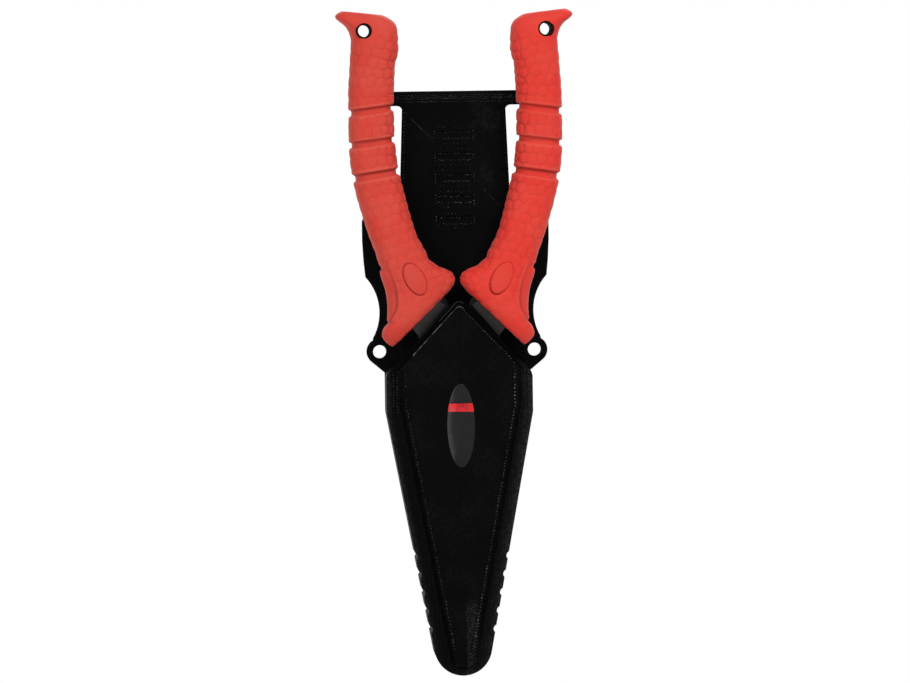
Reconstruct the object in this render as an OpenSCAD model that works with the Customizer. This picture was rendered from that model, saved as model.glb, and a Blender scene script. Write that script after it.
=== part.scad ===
// Fishing pliers in a moulded belt sheath.
// The pieces are drawn about the pivot, with X to the right, Y to the back and Z up.
// place() then moves them all, so that the origin is the middle of the belt slot.

/* [Levers] */
// Thickness of the closed joint, front to back
joint_t = 10; // [9:0.5:11]
// Radius of the lapped disc round the pivot
lap_r = 12.5; // [12:0.25:13]
// Length of the jaws from the pivot to the nose
jaw_l = 76; // [70:1:77]
// Width of one jaw at the nose
nose_w = 2.8; // [2.2:0.1:3]
// Thickness of the jaws at the nose
nose_t = 5.2; // [4.5:0.1:6]
// Pitch of the jaw teeth
tooth_pitch = 1.6; // [1.2:0.1:2]
// Depth of the jaw teeth
tooth_d = 0.5; // [0.3:0.05:0.7]
// Width of the tang inside a grip
tang_w = 8; // [7:0.5:9]
// Thickness of the tang
tang_t = 5; // [4:0.5:6]

/* [Pivot] */
// Diameter of the pivot bolt
bolt_d = 6; // [5:0.5:7]
// Diameter of the bolt's head
bolt_head_d = 14; // [13:0.5:16]
// Thickness of the bolt's head and of the nut
bolt_head_t = 1.7; // [1.4:0.1:1.9]
// Width of the bolt's socket across its corners
socket_w = 5.8; // [5:0.2:7]
// Thickness of a thrust washer
washer_t = 0.4; // [0.3:0.05:0.5]
// Diameter of the thrust washers
washer_d = 13; // [11:0.5:14]
// Diameter of the nut
nut_d = 12; // [11:0.5:14]

/* [Cutters] */
// Length of a cutter
cutter_l = 12; // [10:0.5:13]
// Width of a cutter
cutter_w = 5; // [4.5:0.25:5.5]
// Thickness of a cutter
cutter_t = 4; // [3:0.25:4.5]
// Diameter of the cutter screws
cutter_screw_d = 2; // [1.6:0.1:2.2]

/* [Grips] */
// Height of the handles' tops above the pivot
handle_h = 127; // [122:1:134]
// Distance from the middle of the pliers to the middle of a handle
handle_x = 30.4; // [29:0.2:32]
// Width of a grip's shaft
grip_w = 16.5; // [15.5:0.25:18]
// Depth of a grip, front to back
grip_t = 16; // [14.5:0.25:16.5]
// Width of the ring grooves
groove_w = 2.3; // [1.6:0.1:3]
// Depth of the ring grooves
groove_d = 0.8; // [0.4:0.1:1.2]
// Distance from one ring groove to the next
groove_pitch = 11.5; // [10:0.25:13]
// Length of the oval inlay
oval_l = 12.2; // [11:0.2:15]
// Width of the oval inlay
oval_w = 6.8; // [5.6:0.2:8]
// Diameter of the lanyard hole
eyelet_d = 4.3; // [3.8:0.1:4.8]
// Wall of the eyelet that lines the lanyard hole
eyelet_wall = 0.6; // [0.5:0.05:0.8]

/* [Sheath] */
// Width of the pocket
pocket_w = 52.5; // [52:0.5:56]
// Distance from the pivot down to the middle of the toe's curve
toe_depth = 102; // [98:0.4:108]
// Radius of the toe
toe_r = 10.4; // [9.8:0.1:12]
// Wall of the front shell
wall = 2; // [1.6:0.1:2.2]
// Depth from the middle of the pliers to the front of the sheath
front_depth = 10.2; // [10:0.1:11.5]
// Height of the sloping facets round the front panel
facet_h = 4.7; // [3.5:0.1:5]
// Thickness of the back plate
plate_t = 3; // [2.5:0.1:4]
// Width of the neck at the cross bar
neck_w = 37; // [34:0.5:38]
// Height of the sheath's top above the pivot
sheath_h = 97.7; // [95:0.5:104]
// Width of the cross bar at the top
bar_w = 54; // [48:1:60]
// Height of the cross bar
bar_h = 5.2; // [4:0.2:7]
// Thickness of the cross bar
bar_t = 5.5; // [4:0.25:7]
// Radius of the fillets between the cross bar and the neck
neck_fillet_r = 2; // [1:0.25:4]
// Width across the shoulders
shoulder_w = 67.4; // [66:0.4:72]
// Distance from the middle to a lug hole
lug_x = 28; // [27.6:0.2:29]
// Diameter of the lug holes
lug_hole_d = 4.8; // [4:0.1:5.4]
// Radius of the lugs
lug_r = 4.7; // [4.4:0.1:5.4]
// Depth of the plain bars let into the neck
neck_bar_d = 0.6; // [0.3:0.1:1]

/* [Badge] */
// Length of the oval badge on the front
badge_l = 30; // [24:1:34]
// Width of the badge
badge_w = 10; // [9:0.5:15]
// How far the badge stands out of the panel
badge_proud = 0.4; // [0.2:0.1:0.8]
// Depth of the recess that holds the badge
badge_recess = 0.7; // [0.5:0.1:1]
// Height of the band across the badge
band_h = 3; // [2:0.5:5]

/* [Belt loop] */
// Width of the loop
loop_w = 34; // [30:1:37]
// Thickness of the loop
loop_t = 2.8; // [2.4:0.2:4]
// Height of the slot for the belt
slot_h = 54; // [48:1:55]
// Depth of the slot for the belt
slot_d = 6; // [5:0.5:8]
// Radius of the loop's corners
loop_corner_r = 4; // [2:0.5:5]
// Height of each foot of the loop
foot_h = 8; // [7:0.5:8.5]
// Diameter of the loop's screws
loop_screw_d = 3; // [2.5:0.25:3.5]

/* [Hidden] */
$fn = 64;

// Clearances
run_gap = 0.05;   // a moving shaft or face and its seat
seat_gap = 0.02;  // a fixed piece and its seat
jaw_gap = 0.15;   // each closed jaw and the middle plane
grip_gap = 0.6;   // the back of the grips and the plate
through = 1;      // how far a cut runs past the face it opens

// Depths, from the pliers' middle plane
joint_y = joint_t / 2;
head_y = joint_y + run_gap + washer_t;
plate_y = grip_t / 2 + grip_gap;
back_y = plate_y + plate_t;
slot_back_y = back_y + slot_d;
loop_back_y = slot_back_y + loop_t;
facet_y = -front_depth + facet_h;
cavity_y = -front_depth + wall;
inner_facet_y = facet_y + wall / 2;

// Belt slot
slot_top_z = sheath_h - bar_h - foot_h - 0.5;
slot_z = slot_top_z - slot_h / 2;
slot_y = back_y + slot_d / 2;

// Levers
lap_gap = 0.3;
nose_r = 1.2;
cutter_top_z = -lap_r - 1.4;
cutter_x = jaw_gap;
cutter_y = -joint_y;
cutter_screw_x = cutter_x + cutter_w * 0.6;
cutter_screw_z = [cutter_top_z - cutter_l / 4, cutter_top_z - cutter_l * 3 / 4];
cutter_head_r = cutter_screw_d * 0.95;
cutter_head_t = 1;
cutter_screw_end_y = joint_y - 2.5;
teeth_top_z = -44;
teeth = floor((jaw_l + teeth_top_z - 1.5) / tooth_pitch);
crimp_z = [-30, -37];
crimp_r = [1.6, 1.1];

// Lanyard eyelet
eyelet_r = eyelet_d / 2 + eyelet_wall;
eyelet_x = handle_x + 2.1;
eyelet_z = handle_h - 7.5;
eyelet_y = grip_t / 2 - 0.8;
eyelet_rim_r = eyelet_r + 0.3;
eyelet_rim_t = 0.8;
tang_eye_r = eyelet_r + 2;

// Oval inlay, which leans with the lower part of the handle
oval_x = 15.6;
oval_z = 30.6;
oval_lean = 28;
oval_floor_y = grip_t / 2 - 1.5;
oval_face_y = grip_t / 2 - 0.3;

// A grip's cross sections from the pommel down to the guard. Each row is the middle's X and Z, the
// tilt of the section towards its outer end, what its width adds to the shaft's, and how much
// thinner it is on each face.
grip_rows = [
    [handle_x + 2.3, handle_h - 1.1, -6.5, -1.2, 3.2],
    [handle_x + 1.8, handle_h - 2.4, -6.5, 3.9, 1.6],
    [handle_x + 1.1, handle_h - 4.6, -8.5, 5.9, 0.7],
    [handle_x - 0.6, handle_h - 7.4, -12, 2.9, 0.3],
    [handle_x - 1.4, handle_h - 10.2, -14, 1.4, 0.1],
    [handle_x - 1.8, handle_h - 13.2, -14.5, 0.8, 0],
    [handle_x - 1.0, handle_h - 17.4, -12, -0.3, 0],
    [handle_x - 0.7, handle_h - 22.4, -3.5, -0.5, 0],
    [handle_x - 0.3, handle_h - 28, 3, -0.3, 0],
    [handle_x - 0.2, 93, 7, -0.3, 0],
    [handle_x - 0.2, 84, 7, -0.2, 0],
    [handle_x - 0.5, 76, 7, 0, 0],
    [handle_x - 1.2, 70, 8, 0.1, 0],
    [27.9, 63.2, 11, 0.2, 0],
    [26.1, 56.4, 15, 0, 0],
    [24, 49, 17.5, -0.3, 0],
    [21.7, 42.4, 18.5, -0.5, 0],
    [19.7, 37.2, 17, 0.6, 0.1],
    [18.6, 34.2, 16, 2, 0.2],
    [16.5, 31.6, 16, 4.8, 0.3],
    [14.4, 28.7, 21, 8.2, 0.4],
    [13.5, 25.4, 26.5, 10.6, 0.5],
    [13.6, 22, 32, 13.2, 0.6],
    [14.5, 19.6, 34.5, 15.6, 0.8],
    [14.1, 17.6, 39, 14.7, 1.2],
    [13.5, 16, 44, 12, 2.2],
];
grip_step = 2.2;
grip_points = 24;
grip_round = 2.6;
groove_z = [for (i = [0 : 2]) 91 - i * groove_pitch];

// Sheath outlines
mouth_apex = [1.8, 22.4];
mouth_side = [pocket_w / 2 - 0.5, -3];
rim_t = wall / 2;
rim_x = pocket_w / 2 - 6.2;
rim_foot_z = -8;
taper_z = -17.5;
panel_apex = [1.2, 19.9];
panel_side = [pocket_w / 2 - 6.9, 0.6];
panel_taper_z = -15;
panel_toe_r = toe_r - 7.4;
panel_toe_z = -toe_depth - 3.2;
panel_inset = wall * 0.6;
skin = 0.05;
rail_w = 10;
rail_top_z = 14;
rail_foot_z = -20;
rail_y = joint_y + run_gap + washer_t + bolt_head_t + 0.3;
taper_a = atan2(pocket_w / 2 - toe_r, toe_depth + taper_z);
cavity_top_z = 60;
neck_flare = 1.2;
neck_foot_z = 63;
shoulder_top_z = 53.5;
shoulder_foot_z = 27;
waist_r = 19;
waist_x = 27.8;
waist_z = 18.2;
lug_z = 4;
lug_web_a = 50;
lug_web = [lug_x + lug_r * cos(lug_web_a), lug_z - lug_r * sin(lug_web_a)];
lug_corner = [pocket_w / 2, lug_web[1] - (lug_web[0] - pocket_w / 2) / tan(lug_web_a)];
scoop_r = 1.6;
scoop_d = 0.6;
scoop_first_z = -69.3;
scoop_pitch = 6.6;
scoops = 5;
neck_bars = 5;
neck_bar_w = 13;
neck_bar_h = 3.4;
neck_bar_pitch = 7.7;
neck_bar_top_z = 80;
screw_x = loop_w / 2 - 7;
screw_head_r = loop_screw_d * 0.95;
screw_head_t = 1.8;
screw_bite = plate_t - 0.8;
spanner_x = nut_d / 2 - 1.6;
spanner_r = 0.7;
badge_z = -22;
band_z = badge_z + 6.5;

module place() {
    translate([0, -slot_y, -slot_z]) children();
}

// Extrudes an outline drawn in X and Z from y0 back to y1.
module slab(y0, y1) {
    translate([0, y1, 0]) rotate([90, 0, 0]) linear_extrude(y1 - y0) children();
}

// A round bar along Y from y0 back to y1.
module post(x, z, r, y0, y1) {
    translate([x, y1, z]) rotate([90, 0, 0]) cylinder(h = y1 - y0, r = r);
}

module both_sides() {
    children();
    mirror([1, 0, 0]) children();
}

// Value of one column of a table of rows at height z, on a smooth curve through the rows.
// key is the column that falls from row to row.
function row_above(rows, key, z, i = 0) =
    i >= len(rows) - 2 || rows[i + 1][key] < z ? i : row_above(rows, key, z, i + 1);
function slope(rows, key, col, i) =
    let (a = max(i - 1, 0), b = min(i + 1, len(rows) - 1))
    (rows[b][col] - rows[a][col]) / (rows[b][key] - rows[a][key]);
function smooth(rows, key, col, z) =
    let (
        i = row_above(rows, key, z),
        span = rows[i + 1][key] - rows[i][key],
        t = (z - rows[i][key]) / span,
        m0 = slope(rows, key, col, i) * span,
        m1 = slope(rows, key, col, i + 1) * span
    )
    (2 * t^3 - 3 * t^2 + 1) * rows[i][col] + (t^3 - 2 * t^2 + t) * m0
        + (3 * t^2 - 2 * t^3) * rows[i + 1][col] + (t^3 - t^2) * m1;

// ---------- Levers: the right one, with its handle at +X and its jaw at -X ----------

tang_rows = [
    [eyelet_x, eyelet_z, tang_w],
    [handle_x - 0.6, handle_h - 19, tang_w],
    [handle_x, 93, tang_w],
    [handle_x - 0.3, 80, tang_w + 0.5],
    [handle_x - 1.6, 69, tang_w + 1],
    [26.2, 58, tang_w + 1.5],
    [23, 48, tang_w + 2],
    [18.8, 37, tang_w + 3.5],
];

function tang_side(side) = [
    for (i = [0 : len(tang_rows) - 1])
        let (
            a = tang_rows[max(i - 1, 0)],
            b = tang_rows[min(i + 1, len(tang_rows) - 1)],
            along = [b[0] - a[0], b[1] - a[1]],
            out = [-along[1], along[0]] / norm(along)
        )
        [tang_rows[i][0], tang_rows[i][1]] + side * out * tang_rows[i][2] / 2
];

function turned(points) = [for (i = [len(points) - 1 : -1 : 0]) points[i]];

module tang_outline() {
    polygon(concat(tang_side(1), turned(tang_side(-1))));
    translate([eyelet_x, eyelet_z]) circle(tang_eye_r);
}

module neck_outline() {
    polygon([
        [0.25, lap_r - 3], [0.25, 14.2], [2.9, 19.8], [7, 28], [13.4, 39.5], [24.4, 35.5],
        [19.4, 25], [15.2, 14.5], [14.3, 8], [lap_r + 0.9, 2], [lap_r - 1.5, 1],
    ]);
}

module jaw_outline() {
    root_x = lap_r - 0.7;
    difference() {
        union() {
            polygon([
                [-jaw_gap, -lap_r * 0.4], [-root_x, -lap_r * 0.4], [-root_x, -9], [-8.8, -30],
                [-nose_w - 1.7, 13 - jaw_l], [-nose_w, nose_r - jaw_l], [-nose_w + nose_r, -jaw_l],
                [-jaw_gap, -jaw_l],
            ]);
            translate([-nose_w + nose_r, nose_r - jaw_l]) circle(nose_r);
        }
        for (i = [0 : teeth - 1]) translate([-jaw_gap, teeth_top_z - (i + 0.5) * tooth_pitch])
            polygon([[1, tooth_pitch], [-tooth_d, 0], [1, -tooth_pitch]]);
        for (i = [0 : len(crimp_z) - 1]) translate([0, crimp_z[i]]) circle(crimp_r[i]);
    }
}

// Side view of a jaw: it thins from the joint to the nose. Points are Z and half thickness.
module jaw_side() {
    nose_y = nose_t / 2;
    rotate([90, 0, 90]) translate([0, 0, -lap_r - 2]) linear_extrude(lap_r + 2 - jaw_gap)
        polygon([
            [-joint_y, 0], [joint_y, 0], [joint_y, -28], [nose_y + 0.4, -jaw_l + 8], [nose_y, -jaw_l],
            [-nose_y, -jaw_l], [-nose_y - 0.4, -jaw_l + 8], [-joint_y, -28],
        ]);
}

// side is 1 when the lever's lap lies at the back, and -1 at the front.
module lever(side) {
    lap_y0 = side > 0 ? run_gap : -joint_y;
    lap_y1 = side > 0 ? joint_y : -run_gap;
    difference() {
        union() {
            slab(-tang_t / 2, tang_t / 2) tang_outline();
            slab(-joint_y, joint_y) neck_outline();
            intersection() {
                slab(-joint_y, joint_y) jaw_outline();
                jaw_side();
            }
            slab(lap_y0, lap_y1) circle(lap_r, $fn = 96);
        }
        post(0, 0, lap_r + lap_gap, side > 0 ? -joint_y - through : -run_gap,
            side > 0 ? run_gap : joint_y + through);
        post(0, 0, bolt_d / 2 + run_gap, -joint_y - through, joint_y + through);
        post(0, 0, washer_d / 2 + run_gap, -washer_t / 2 - run_gap, washer_t / 2 + run_gap);
        post(eyelet_x, eyelet_z, eyelet_r + seat_gap, -tang_t, tang_t);
        cutter_box(seat_gap);
        cutter_screw_places()
            post(0, 0, cutter_screw_d / 2 + seat_gap, -joint_y - through, cutter_screw_end_y);
    }
}

// ---------- Cutter of the right lever ----------

module cutter_box(grow) {
    translate([-cutter_x - cutter_w - grow, cutter_y - through, cutter_top_z - cutter_l - grow])
        cube([cutter_w + grow + through, cutter_t + grow + through, cutter_l + 2 * grow]);
}

module cutter_screw_places() {
    for (z = cutter_screw_z) translate([-cutter_screw_x, 0, z]) children();
}

module cutter() {
    bevel = cutter_t * 0.45;
    difference() {
        translate([-cutter_x - cutter_w, cutter_y, cutter_top_z - cutter_l])
            linear_extrude(cutter_l) polygon([
                [0, 0], [cutter_w - bevel, 0], [cutter_w, bevel], [cutter_w, bevel + 0.2],
                [cutter_w - bevel, cutter_t], [0, cutter_t],
            ]);
        cutter_screw_places() {
            post(0, 0, cutter_screw_d / 2 + seat_gap, cutter_y - through, cutter_y + cutter_t + through);
            post(0, 0, cutter_head_r + seat_gap, cutter_y - through, cutter_y + cutter_head_t + seat_gap);
        }
    }
}

module cutter_screws() {
    cutter_screw_places() difference() {
        union() {
            post(0, 0, cutter_head_r, cutter_y, cutter_y + cutter_head_t);
            post(0, 0, cutter_screw_d / 2, cutter_y, cutter_screw_end_y - 0.3);
        }
        translate([0, cutter_y, 0]) rotate([90, 0, 0])
            cylinder(h = 1, d = cutter_screw_d, $fn = 6, center = true);
    }
}

// ---------- Grip of the right lever ----------

function in_groove(z) = len([for (g = groove_z) if (abs(z - g) < groove_w / 2 - 0.3) 1]) > 0;

function grip_ring(z) =
    let (
        cut = in_groove(z) ? groove_d : 0,
        x = smooth(grip_rows, 1, 0, z),
        tilt = smooth(grip_rows, 1, 2, z),
        half = (grip_w + smooth(grip_rows, 1, 3, z)) / 2 - cut,
        deep = grip_t / 2 - smooth(grip_rows, 1, 4, z) - cut
    )
    [for (i = [0 : grip_points - 1])
        let (
            a = 360 * i / grip_points,
            c = sign(cos(a)) * pow(abs(cos(a)), 2 / grip_round),
            s = sign(sin(a)) * pow(abs(sin(a)), 2 / grip_round)
        )
        [x + half * c * cos(tilt), deep * s, z - half * c * sin(tilt)]];

grip_top_z = grip_rows[0][1];
grip_foot_z = grip_rows[len(grip_rows) - 1][1];
groove_edges = [for (g = groove_z) for (d = [groove_w / 2, groove_w / 2 - 0.35]) each [g + d, g - d]];
function near_groove(z) = len([for (g = groove_z) if (abs(z - g) < groove_w / 2 + 0.5) 1]) > 0;
grip_steps = round((grip_top_z - grip_foot_z) / grip_step);
plain_levels = [
    for (i = [0 : grip_steps])
        let (z = grip_top_z - i * (grip_top_z - grip_foot_z) / grip_steps) if (!near_groove(z)) z
];
function descending(v) =
    len(v) < 2 ? v :
    let (
        p = v[floor(len(v) / 2)],
        above = [for (z = v) if (z > p) z],
        below = [for (z = v) if (z < p) z]
    )
    concat(descending(above), [p], descending(below));
grip_levels = descending(concat(plain_levels, groove_edges));

module grip_body() {
    rings = [for (z = grip_levels) grip_ring(z)];
    n = grip_points;
    last = (len(rings) - 1) * n;
    points = [for (r = rings) each r];
    sides = [
        for (k = [0 : len(rings) - 2]) for (i = [0 : n - 1])
            let (a = k * n + i, b = k * n + (i + 1) % n)
            each [[a, b, b + n], [a, b + n, a + n]]
    ];
    top = [for (i = [n - 1 : -1 : 0]) i];
    foot = [for (i = [0 : n - 1]) last + i];
    polyhedron(points, concat(sides, [top, foot]), convexity = 6);
}

function ellipse(wide, tall) = [
    for (i = [0 : 5 : 355]) [wide / 2 * cos(i), tall / 2 * sin(i)]
];

module oval(grow = 0) {
    translate([oval_x, oval_z]) rotate(-oval_lean) polygon(ellipse(oval_w + 2 * grow, oval_l + 2 * grow));
}

module grip() {
    difference() {
        grip_body();
        slab(-grip_t, -oval_floor_y) oval(seat_gap);
        slab(oval_floor_y, grip_t) oval(seat_gap);
        slab(-tang_t / 2, tang_t / 2) tang_outline();
        slab(-joint_y, joint_y) neck_outline();
        post(eyelet_x, eyelet_z, eyelet_r + seat_gap, -grip_t, grip_t);
        for (side = [-1, 1]) post(eyelet_x, eyelet_z, eyelet_rim_r + seat_gap,
            side < 0 ? -grip_t : eyelet_y - eyelet_rim_t - seat_gap,
            side < 0 ? -eyelet_y + eyelet_rim_t + seat_gap : grip_t);
    }
}

module eyelet() {
    difference() {
        union() {
            post(eyelet_x, eyelet_z, eyelet_r, -eyelet_y, eyelet_y);
            post(eyelet_x, eyelet_z, eyelet_rim_r, -eyelet_y, -eyelet_y + eyelet_rim_t);
            post(eyelet_x, eyelet_z, eyelet_rim_r, eyelet_y - eyelet_rim_t, eyelet_y);
        }
        post(eyelet_x, eyelet_z, eyelet_d / 2, -grip_t, grip_t);
    }
}

module oval_inlays() {
    slab(-oval_face_y, -oval_floor_y) oval();
    slab(oval_floor_y, oval_face_y) oval();
}

// ---------- Pivot ----------

module pivot_bolt() {
    difference() {
        union() {
            post(0, 0, bolt_head_d / 2, -head_y - bolt_head_t, -head_y);
            post(0, 0, bolt_d / 2, -head_y, head_y + bolt_head_t - 0.1);
        }
        translate([0, -head_y - bolt_head_t, 0]) rotate([90, 0, 0])
            cylinder(h = 2 * (bolt_head_t - 0.5), d = socket_w, $fn = 6, center = true);
    }
}

module pivot_nut() {
    difference() {
        post(0, 0, nut_d / 2, head_y, head_y + bolt_head_t);
        post(0, 0, bolt_d / 2 + seat_gap, head_y - through, head_y + bolt_head_t + through);
        for (x = [-1, 1]) post(x * spanner_x, 0, spanner_r, head_y + 0.6, head_y + bolt_head_t + through);
    }
}

module washer(y) {
    difference() {
        post(0, 0, washer_d / 2, y, y + washer_t);
        post(0, 0, bolt_d / 2 + run_gap, y - through, y + washer_t + through);
    }
}

// ---------- Sheath ----------

// The pocket's outline, which is flat at the top and tapers to a round toe.
module pocket_outline(half_w, top_z, bend_z, r, r_z) {
    foot = [r * cos(taper_a), r_z - r * sin(taper_a)];
    polygon([
        [-half_w, top_z], [half_w, top_z], [half_w, bend_z], foot, [-foot[0], foot[1]], [-half_w, bend_z],
    ]);
    translate([0, r_z]) circle(r);
}

// The same outline with the sloping shoulders of the mouth.
module mouth_outline(apex, side, bend_z, r, r_z) {
    intersection() {
        pocket_outline(side[0] + 0.5, apex[1], bend_z, r, r_z);
        polygon([
            [-apex[0], apex[1]], [apex[0], apex[1]], side, [side[0] + 0.5, side[1] - 1.6],
            [side[0] + 0.5, -sheath_h * 2], [-side[0] - 0.5, -sheath_h * 2],
            [-side[0] - 0.5, side[1] - 1.6], [-side[0], side[1]],
        ]);
    }
}

module front_outline() {
    mouth_outline(mouth_apex, mouth_side, taper_z, toe_r, -toe_depth);
}

module panel_outline() {
    mouth_outline(panel_apex, panel_side - [0.5, 0], panel_taper_z, panel_toe_r, panel_toe_z);
}

module cavity() {
    half_w = pocket_w / 2 - wall;
    hull() {
        slab(inner_facet_y, plate_y + through)
            pocket_outline(half_w, cavity_top_z, taper_z, toe_r - wall, -toe_depth);
        slab(cavity_y, cavity_y + skin)
            pocket_outline(panel_side[0] - panel_inset, cavity_top_z, panel_taper_z,
                panel_toe_r - panel_inset, panel_toe_z);
    }
}

// Five shallow scoops for the fingertips down each side of the toe.
module scoop_cuts() {
    both_sides() for (i = [0 : scoops - 1]) {
        z = scoop_first_z - i * scoop_pitch;
        edge_x = pocket_w / 2 + (z - taper_z) * tan(taper_a);
        post(edge_x + scoop_r - scoop_d, z, scoop_r, -front_depth - through, back_y + through);
    }
}

// The lip of the mouth, which stands out above the panel's sloping edges.
module rim_outline() {
    intersection() {
        front_outline();
        translate([-rim_x, rim_foot_z]) square([2 * rim_x, mouth_apex[1] - rim_foot_z]);
    }
}

module badge_outline(grow = 0) {
    translate([0, badge_z]) polygon(ellipse(badge_w + 2 * grow, badge_l + 2 * grow));
}

module sheath_front() {
    difference() {
        hull() {
            slab(facet_y, plate_y) front_outline();
            slab(-front_depth, -front_depth + skin) panel_outline();
        }
        cavity();
        slab(-front_depth - through, -front_depth + badge_recess) badge_outline(seat_gap);
        scoop_cuts();
    }
    slab(cavity_y - rim_t, cavity_y) rim_outline();
    translate([-rail_w / 2, cavity_y, rail_foot_z])
        cube([rail_w, -rail_y - cavity_y, rail_top_z - rail_foot_z]);
}

module back_outline() {
    half_neck = neck_w / 2;
    half_w = shoulder_w / 2;
    difference() {
        both_sides() polygon([
            [0, sheath_h - bar_h / 2], [half_neck, sheath_h - bar_h / 2],
            [half_neck + neck_flare, neck_foot_z], [half_w - 4, shoulder_top_z],
            [half_w - 0.6, shoulder_top_z - 0.9], [half_w, shoulder_top_z - 2.5],
            [half_w, shoulder_foot_z + 17], [half_w - 0.4, shoulder_foot_z + 9.7],
            [half_w - 1.1, shoulder_foot_z + 2.6], [half_w - 1.9, shoulder_foot_z + 0.8],
            [half_w - 3.4, shoulder_foot_z], [half_w - 3.4, lug_z + 3],
            [pocket_w / 2, lug_z - 2], [pocket_w / 2, taper_z], [0, taper_z],
        ]);
        both_sides() translate([waist_x + waist_r, waist_z]) circle(waist_r);
    }
    pocket_outline(pocket_w / 2, 0, taper_z, toe_r, -toe_depth);
    both_sides() difference() {
        translate([half_neck - 1, sheath_h - bar_h - neck_fillet_r])
            square([neck_fillet_r + 1, neck_fillet_r + 1]);
        translate([half_neck + neck_fillet_r, sheath_h - bar_h - neck_fillet_r]) circle(neck_fillet_r);
    }
    both_sides() {
        translate([lug_x, lug_z]) circle(lug_r);
        polygon([
            [0, lug_z + lug_r], [lug_x, lug_z + lug_r], [lug_x, lug_z],
            lug_web, lug_corner, [0, lug_corner[1]],
        ]);
    }
}

// The cross bar, with rounded ends.
module bar_outline() {
    end_x = (bar_w - bar_h) / 2;
    translate([-end_x, sheath_h - bar_h]) square([2 * end_x, bar_h]);
    both_sides() translate([end_x, sheath_h - bar_h / 2]) circle(bar_h / 2);
}

module loop_outline() {
    foot_z = slot_top_z - slot_h - foot_h;
    tall = slot_h + 2 * foot_h;
    translate([-loop_w / 2 + loop_corner_r, foot_z]) square([loop_w - 2 * loop_corner_r, tall]);
    translate([-loop_w / 2, foot_z + loop_corner_r]) square([loop_w, tall - 2 * loop_corner_r]);
    both_sides() for (z = [foot_z + loop_corner_r, foot_z + tall - loop_corner_r])
        translate([loop_w / 2 - loop_corner_r, z]) circle(loop_corner_r);
}

module loop_screw_places() {
    for (x = [-screw_x, screw_x], z = [slot_top_z + foot_h / 2, slot_top_z - slot_h - foot_h / 2])
        translate([x, 0, z]) children();
}

module sheath_back() {
    difference() {
        union() {
            slab(plate_y, back_y) back_outline();
            slab(plate_y, plate_y + bar_t) bar_outline();
            translate([-rail_w / 2, rail_y, rail_foot_z])
                cube([rail_w, plate_y - rail_y + skin, rail_top_z - rail_foot_z]);
        }
        both_sides() post(lug_x, lug_z, lug_hole_d / 2, plate_y - through, back_y + through);
        scoop_cuts();
        for (i = [0 : neck_bars - 1])
            translate([-neck_bar_w / 2, plate_y - through, neck_bar_top_z - i * neck_bar_pitch])
                cube([neck_bar_w, through + neck_bar_d, neck_bar_h]);
        loop_screw_places()
            post(0, 0, loop_screw_d / 2 + seat_gap, back_y - screw_bite, back_y + through);
    }
}

module belt_loop() {
    difference() {
        slab(back_y, loop_back_y) loop_outline();
        translate([-loop_w, back_y - through, slot_top_z - slot_h])
            cube([2 * loop_w, slot_d + through, slot_h]);
        loop_screw_places() {
            post(0, 0, loop_screw_d / 2 + seat_gap, back_y - through, loop_back_y + through);
            post(0, 0, screw_head_r + seat_gap, loop_back_y - screw_head_t - seat_gap, loop_back_y + through);
        }
    }
}

module belt_loop_screws() {
    loop_screw_places() difference() {
        union() {
            post(0, 0, screw_head_r, loop_back_y - screw_head_t, loop_back_y - 0.2);
            post(0, 0, loop_screw_d / 2, back_y - screw_bite + 0.2, loop_back_y - screw_head_t);
        }
        translate([0, loop_back_y - 0.2, 0]) rotate([90, 0, 0])
            cylinder(h = 2, d = loop_screw_d * 0.8, $fn = 6, center = true);
    }
}

// ---------- Badge ----------

module badge_band_outline(grow = 0) {
    intersection() {
        badge_outline();
        translate([-badge_w, band_z - band_h / 2 - grow]) square([2 * badge_w, band_h + 2 * grow]);
    }
}

module badge() {
    difference() {
        slab(-front_depth - badge_proud, -front_depth + badge_recess) badge_outline();
        slab(-front_depth - badge_proud - through, -front_depth) badge_band_outline(seat_gap);
    }
}

module badge_band() {
    slab(-front_depth - badge_proud, -front_depth) badge_band_outline();
}

// ---------- The named pieces ----------

black = [0.06, 0.06, 0.06];
steel = [0.2, 0.19, 0.18];
bright = [0.55, 0.55, 0.56];
red = [0.85, 0.27, 0.22];

module left() {
    mirror([1, 0, 0]) children();
}

place() color(black) sheath_back();
place() color(black) sheath_front();
place() color(black) belt_loop();
place() color(bright) belt_loop_screws();
place() color([0.1, 0.1, 0.11]) badge();
place() color([0.7, 0.1, 0.12]) badge_band();
place() color(bright) pivot_bolt();
place() color(bright) pivot_nut();
place() color(bright) washer(-head_y);  // front_washer
place() color(bright) washer(-washer_t / 2);  // middle_washer
place() color(bright) washer(head_y - washer_t);  // back_washer
place() color(steel) left() lever(-1);  // left_lever
place() color(red) left() grip();  // left_grip
place() color(red) left() oval_inlays();  // left_oval_inlays
place() color(steel) left() eyelet();  // left_eyelet
place() color(bright) left() cutter();  // left_cutter
place() color(bright) left() cutter_screws();  // left_cutter_screws
place() color(steel) lever(1);  // right_lever
place() color(red) grip();  // right_grip
place() color(red) oval_inlays();  // right_oval_inlays
place() color(steel) eyelet();  // right_eyelet
place() color(bright) cutter();  // right_cutter
place() color(bright) cutter_screws();  // right_cutter_screws
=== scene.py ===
"""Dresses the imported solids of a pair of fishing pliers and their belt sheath.

Every piece is in metres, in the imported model's frame: X to the right, Y to the back, Z up, with the
origin in the middle of the belt slot. Sizes are written in millimetres about the pivot, as the
solids are, and DESIGN carries them into the frame.
"""

import logging
import math
from dataclasses import dataclass
from enum import Enum
from typing import Callable, Sequence

import bpy
import numpy as np
from mathutils import Matrix, Vector


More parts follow.
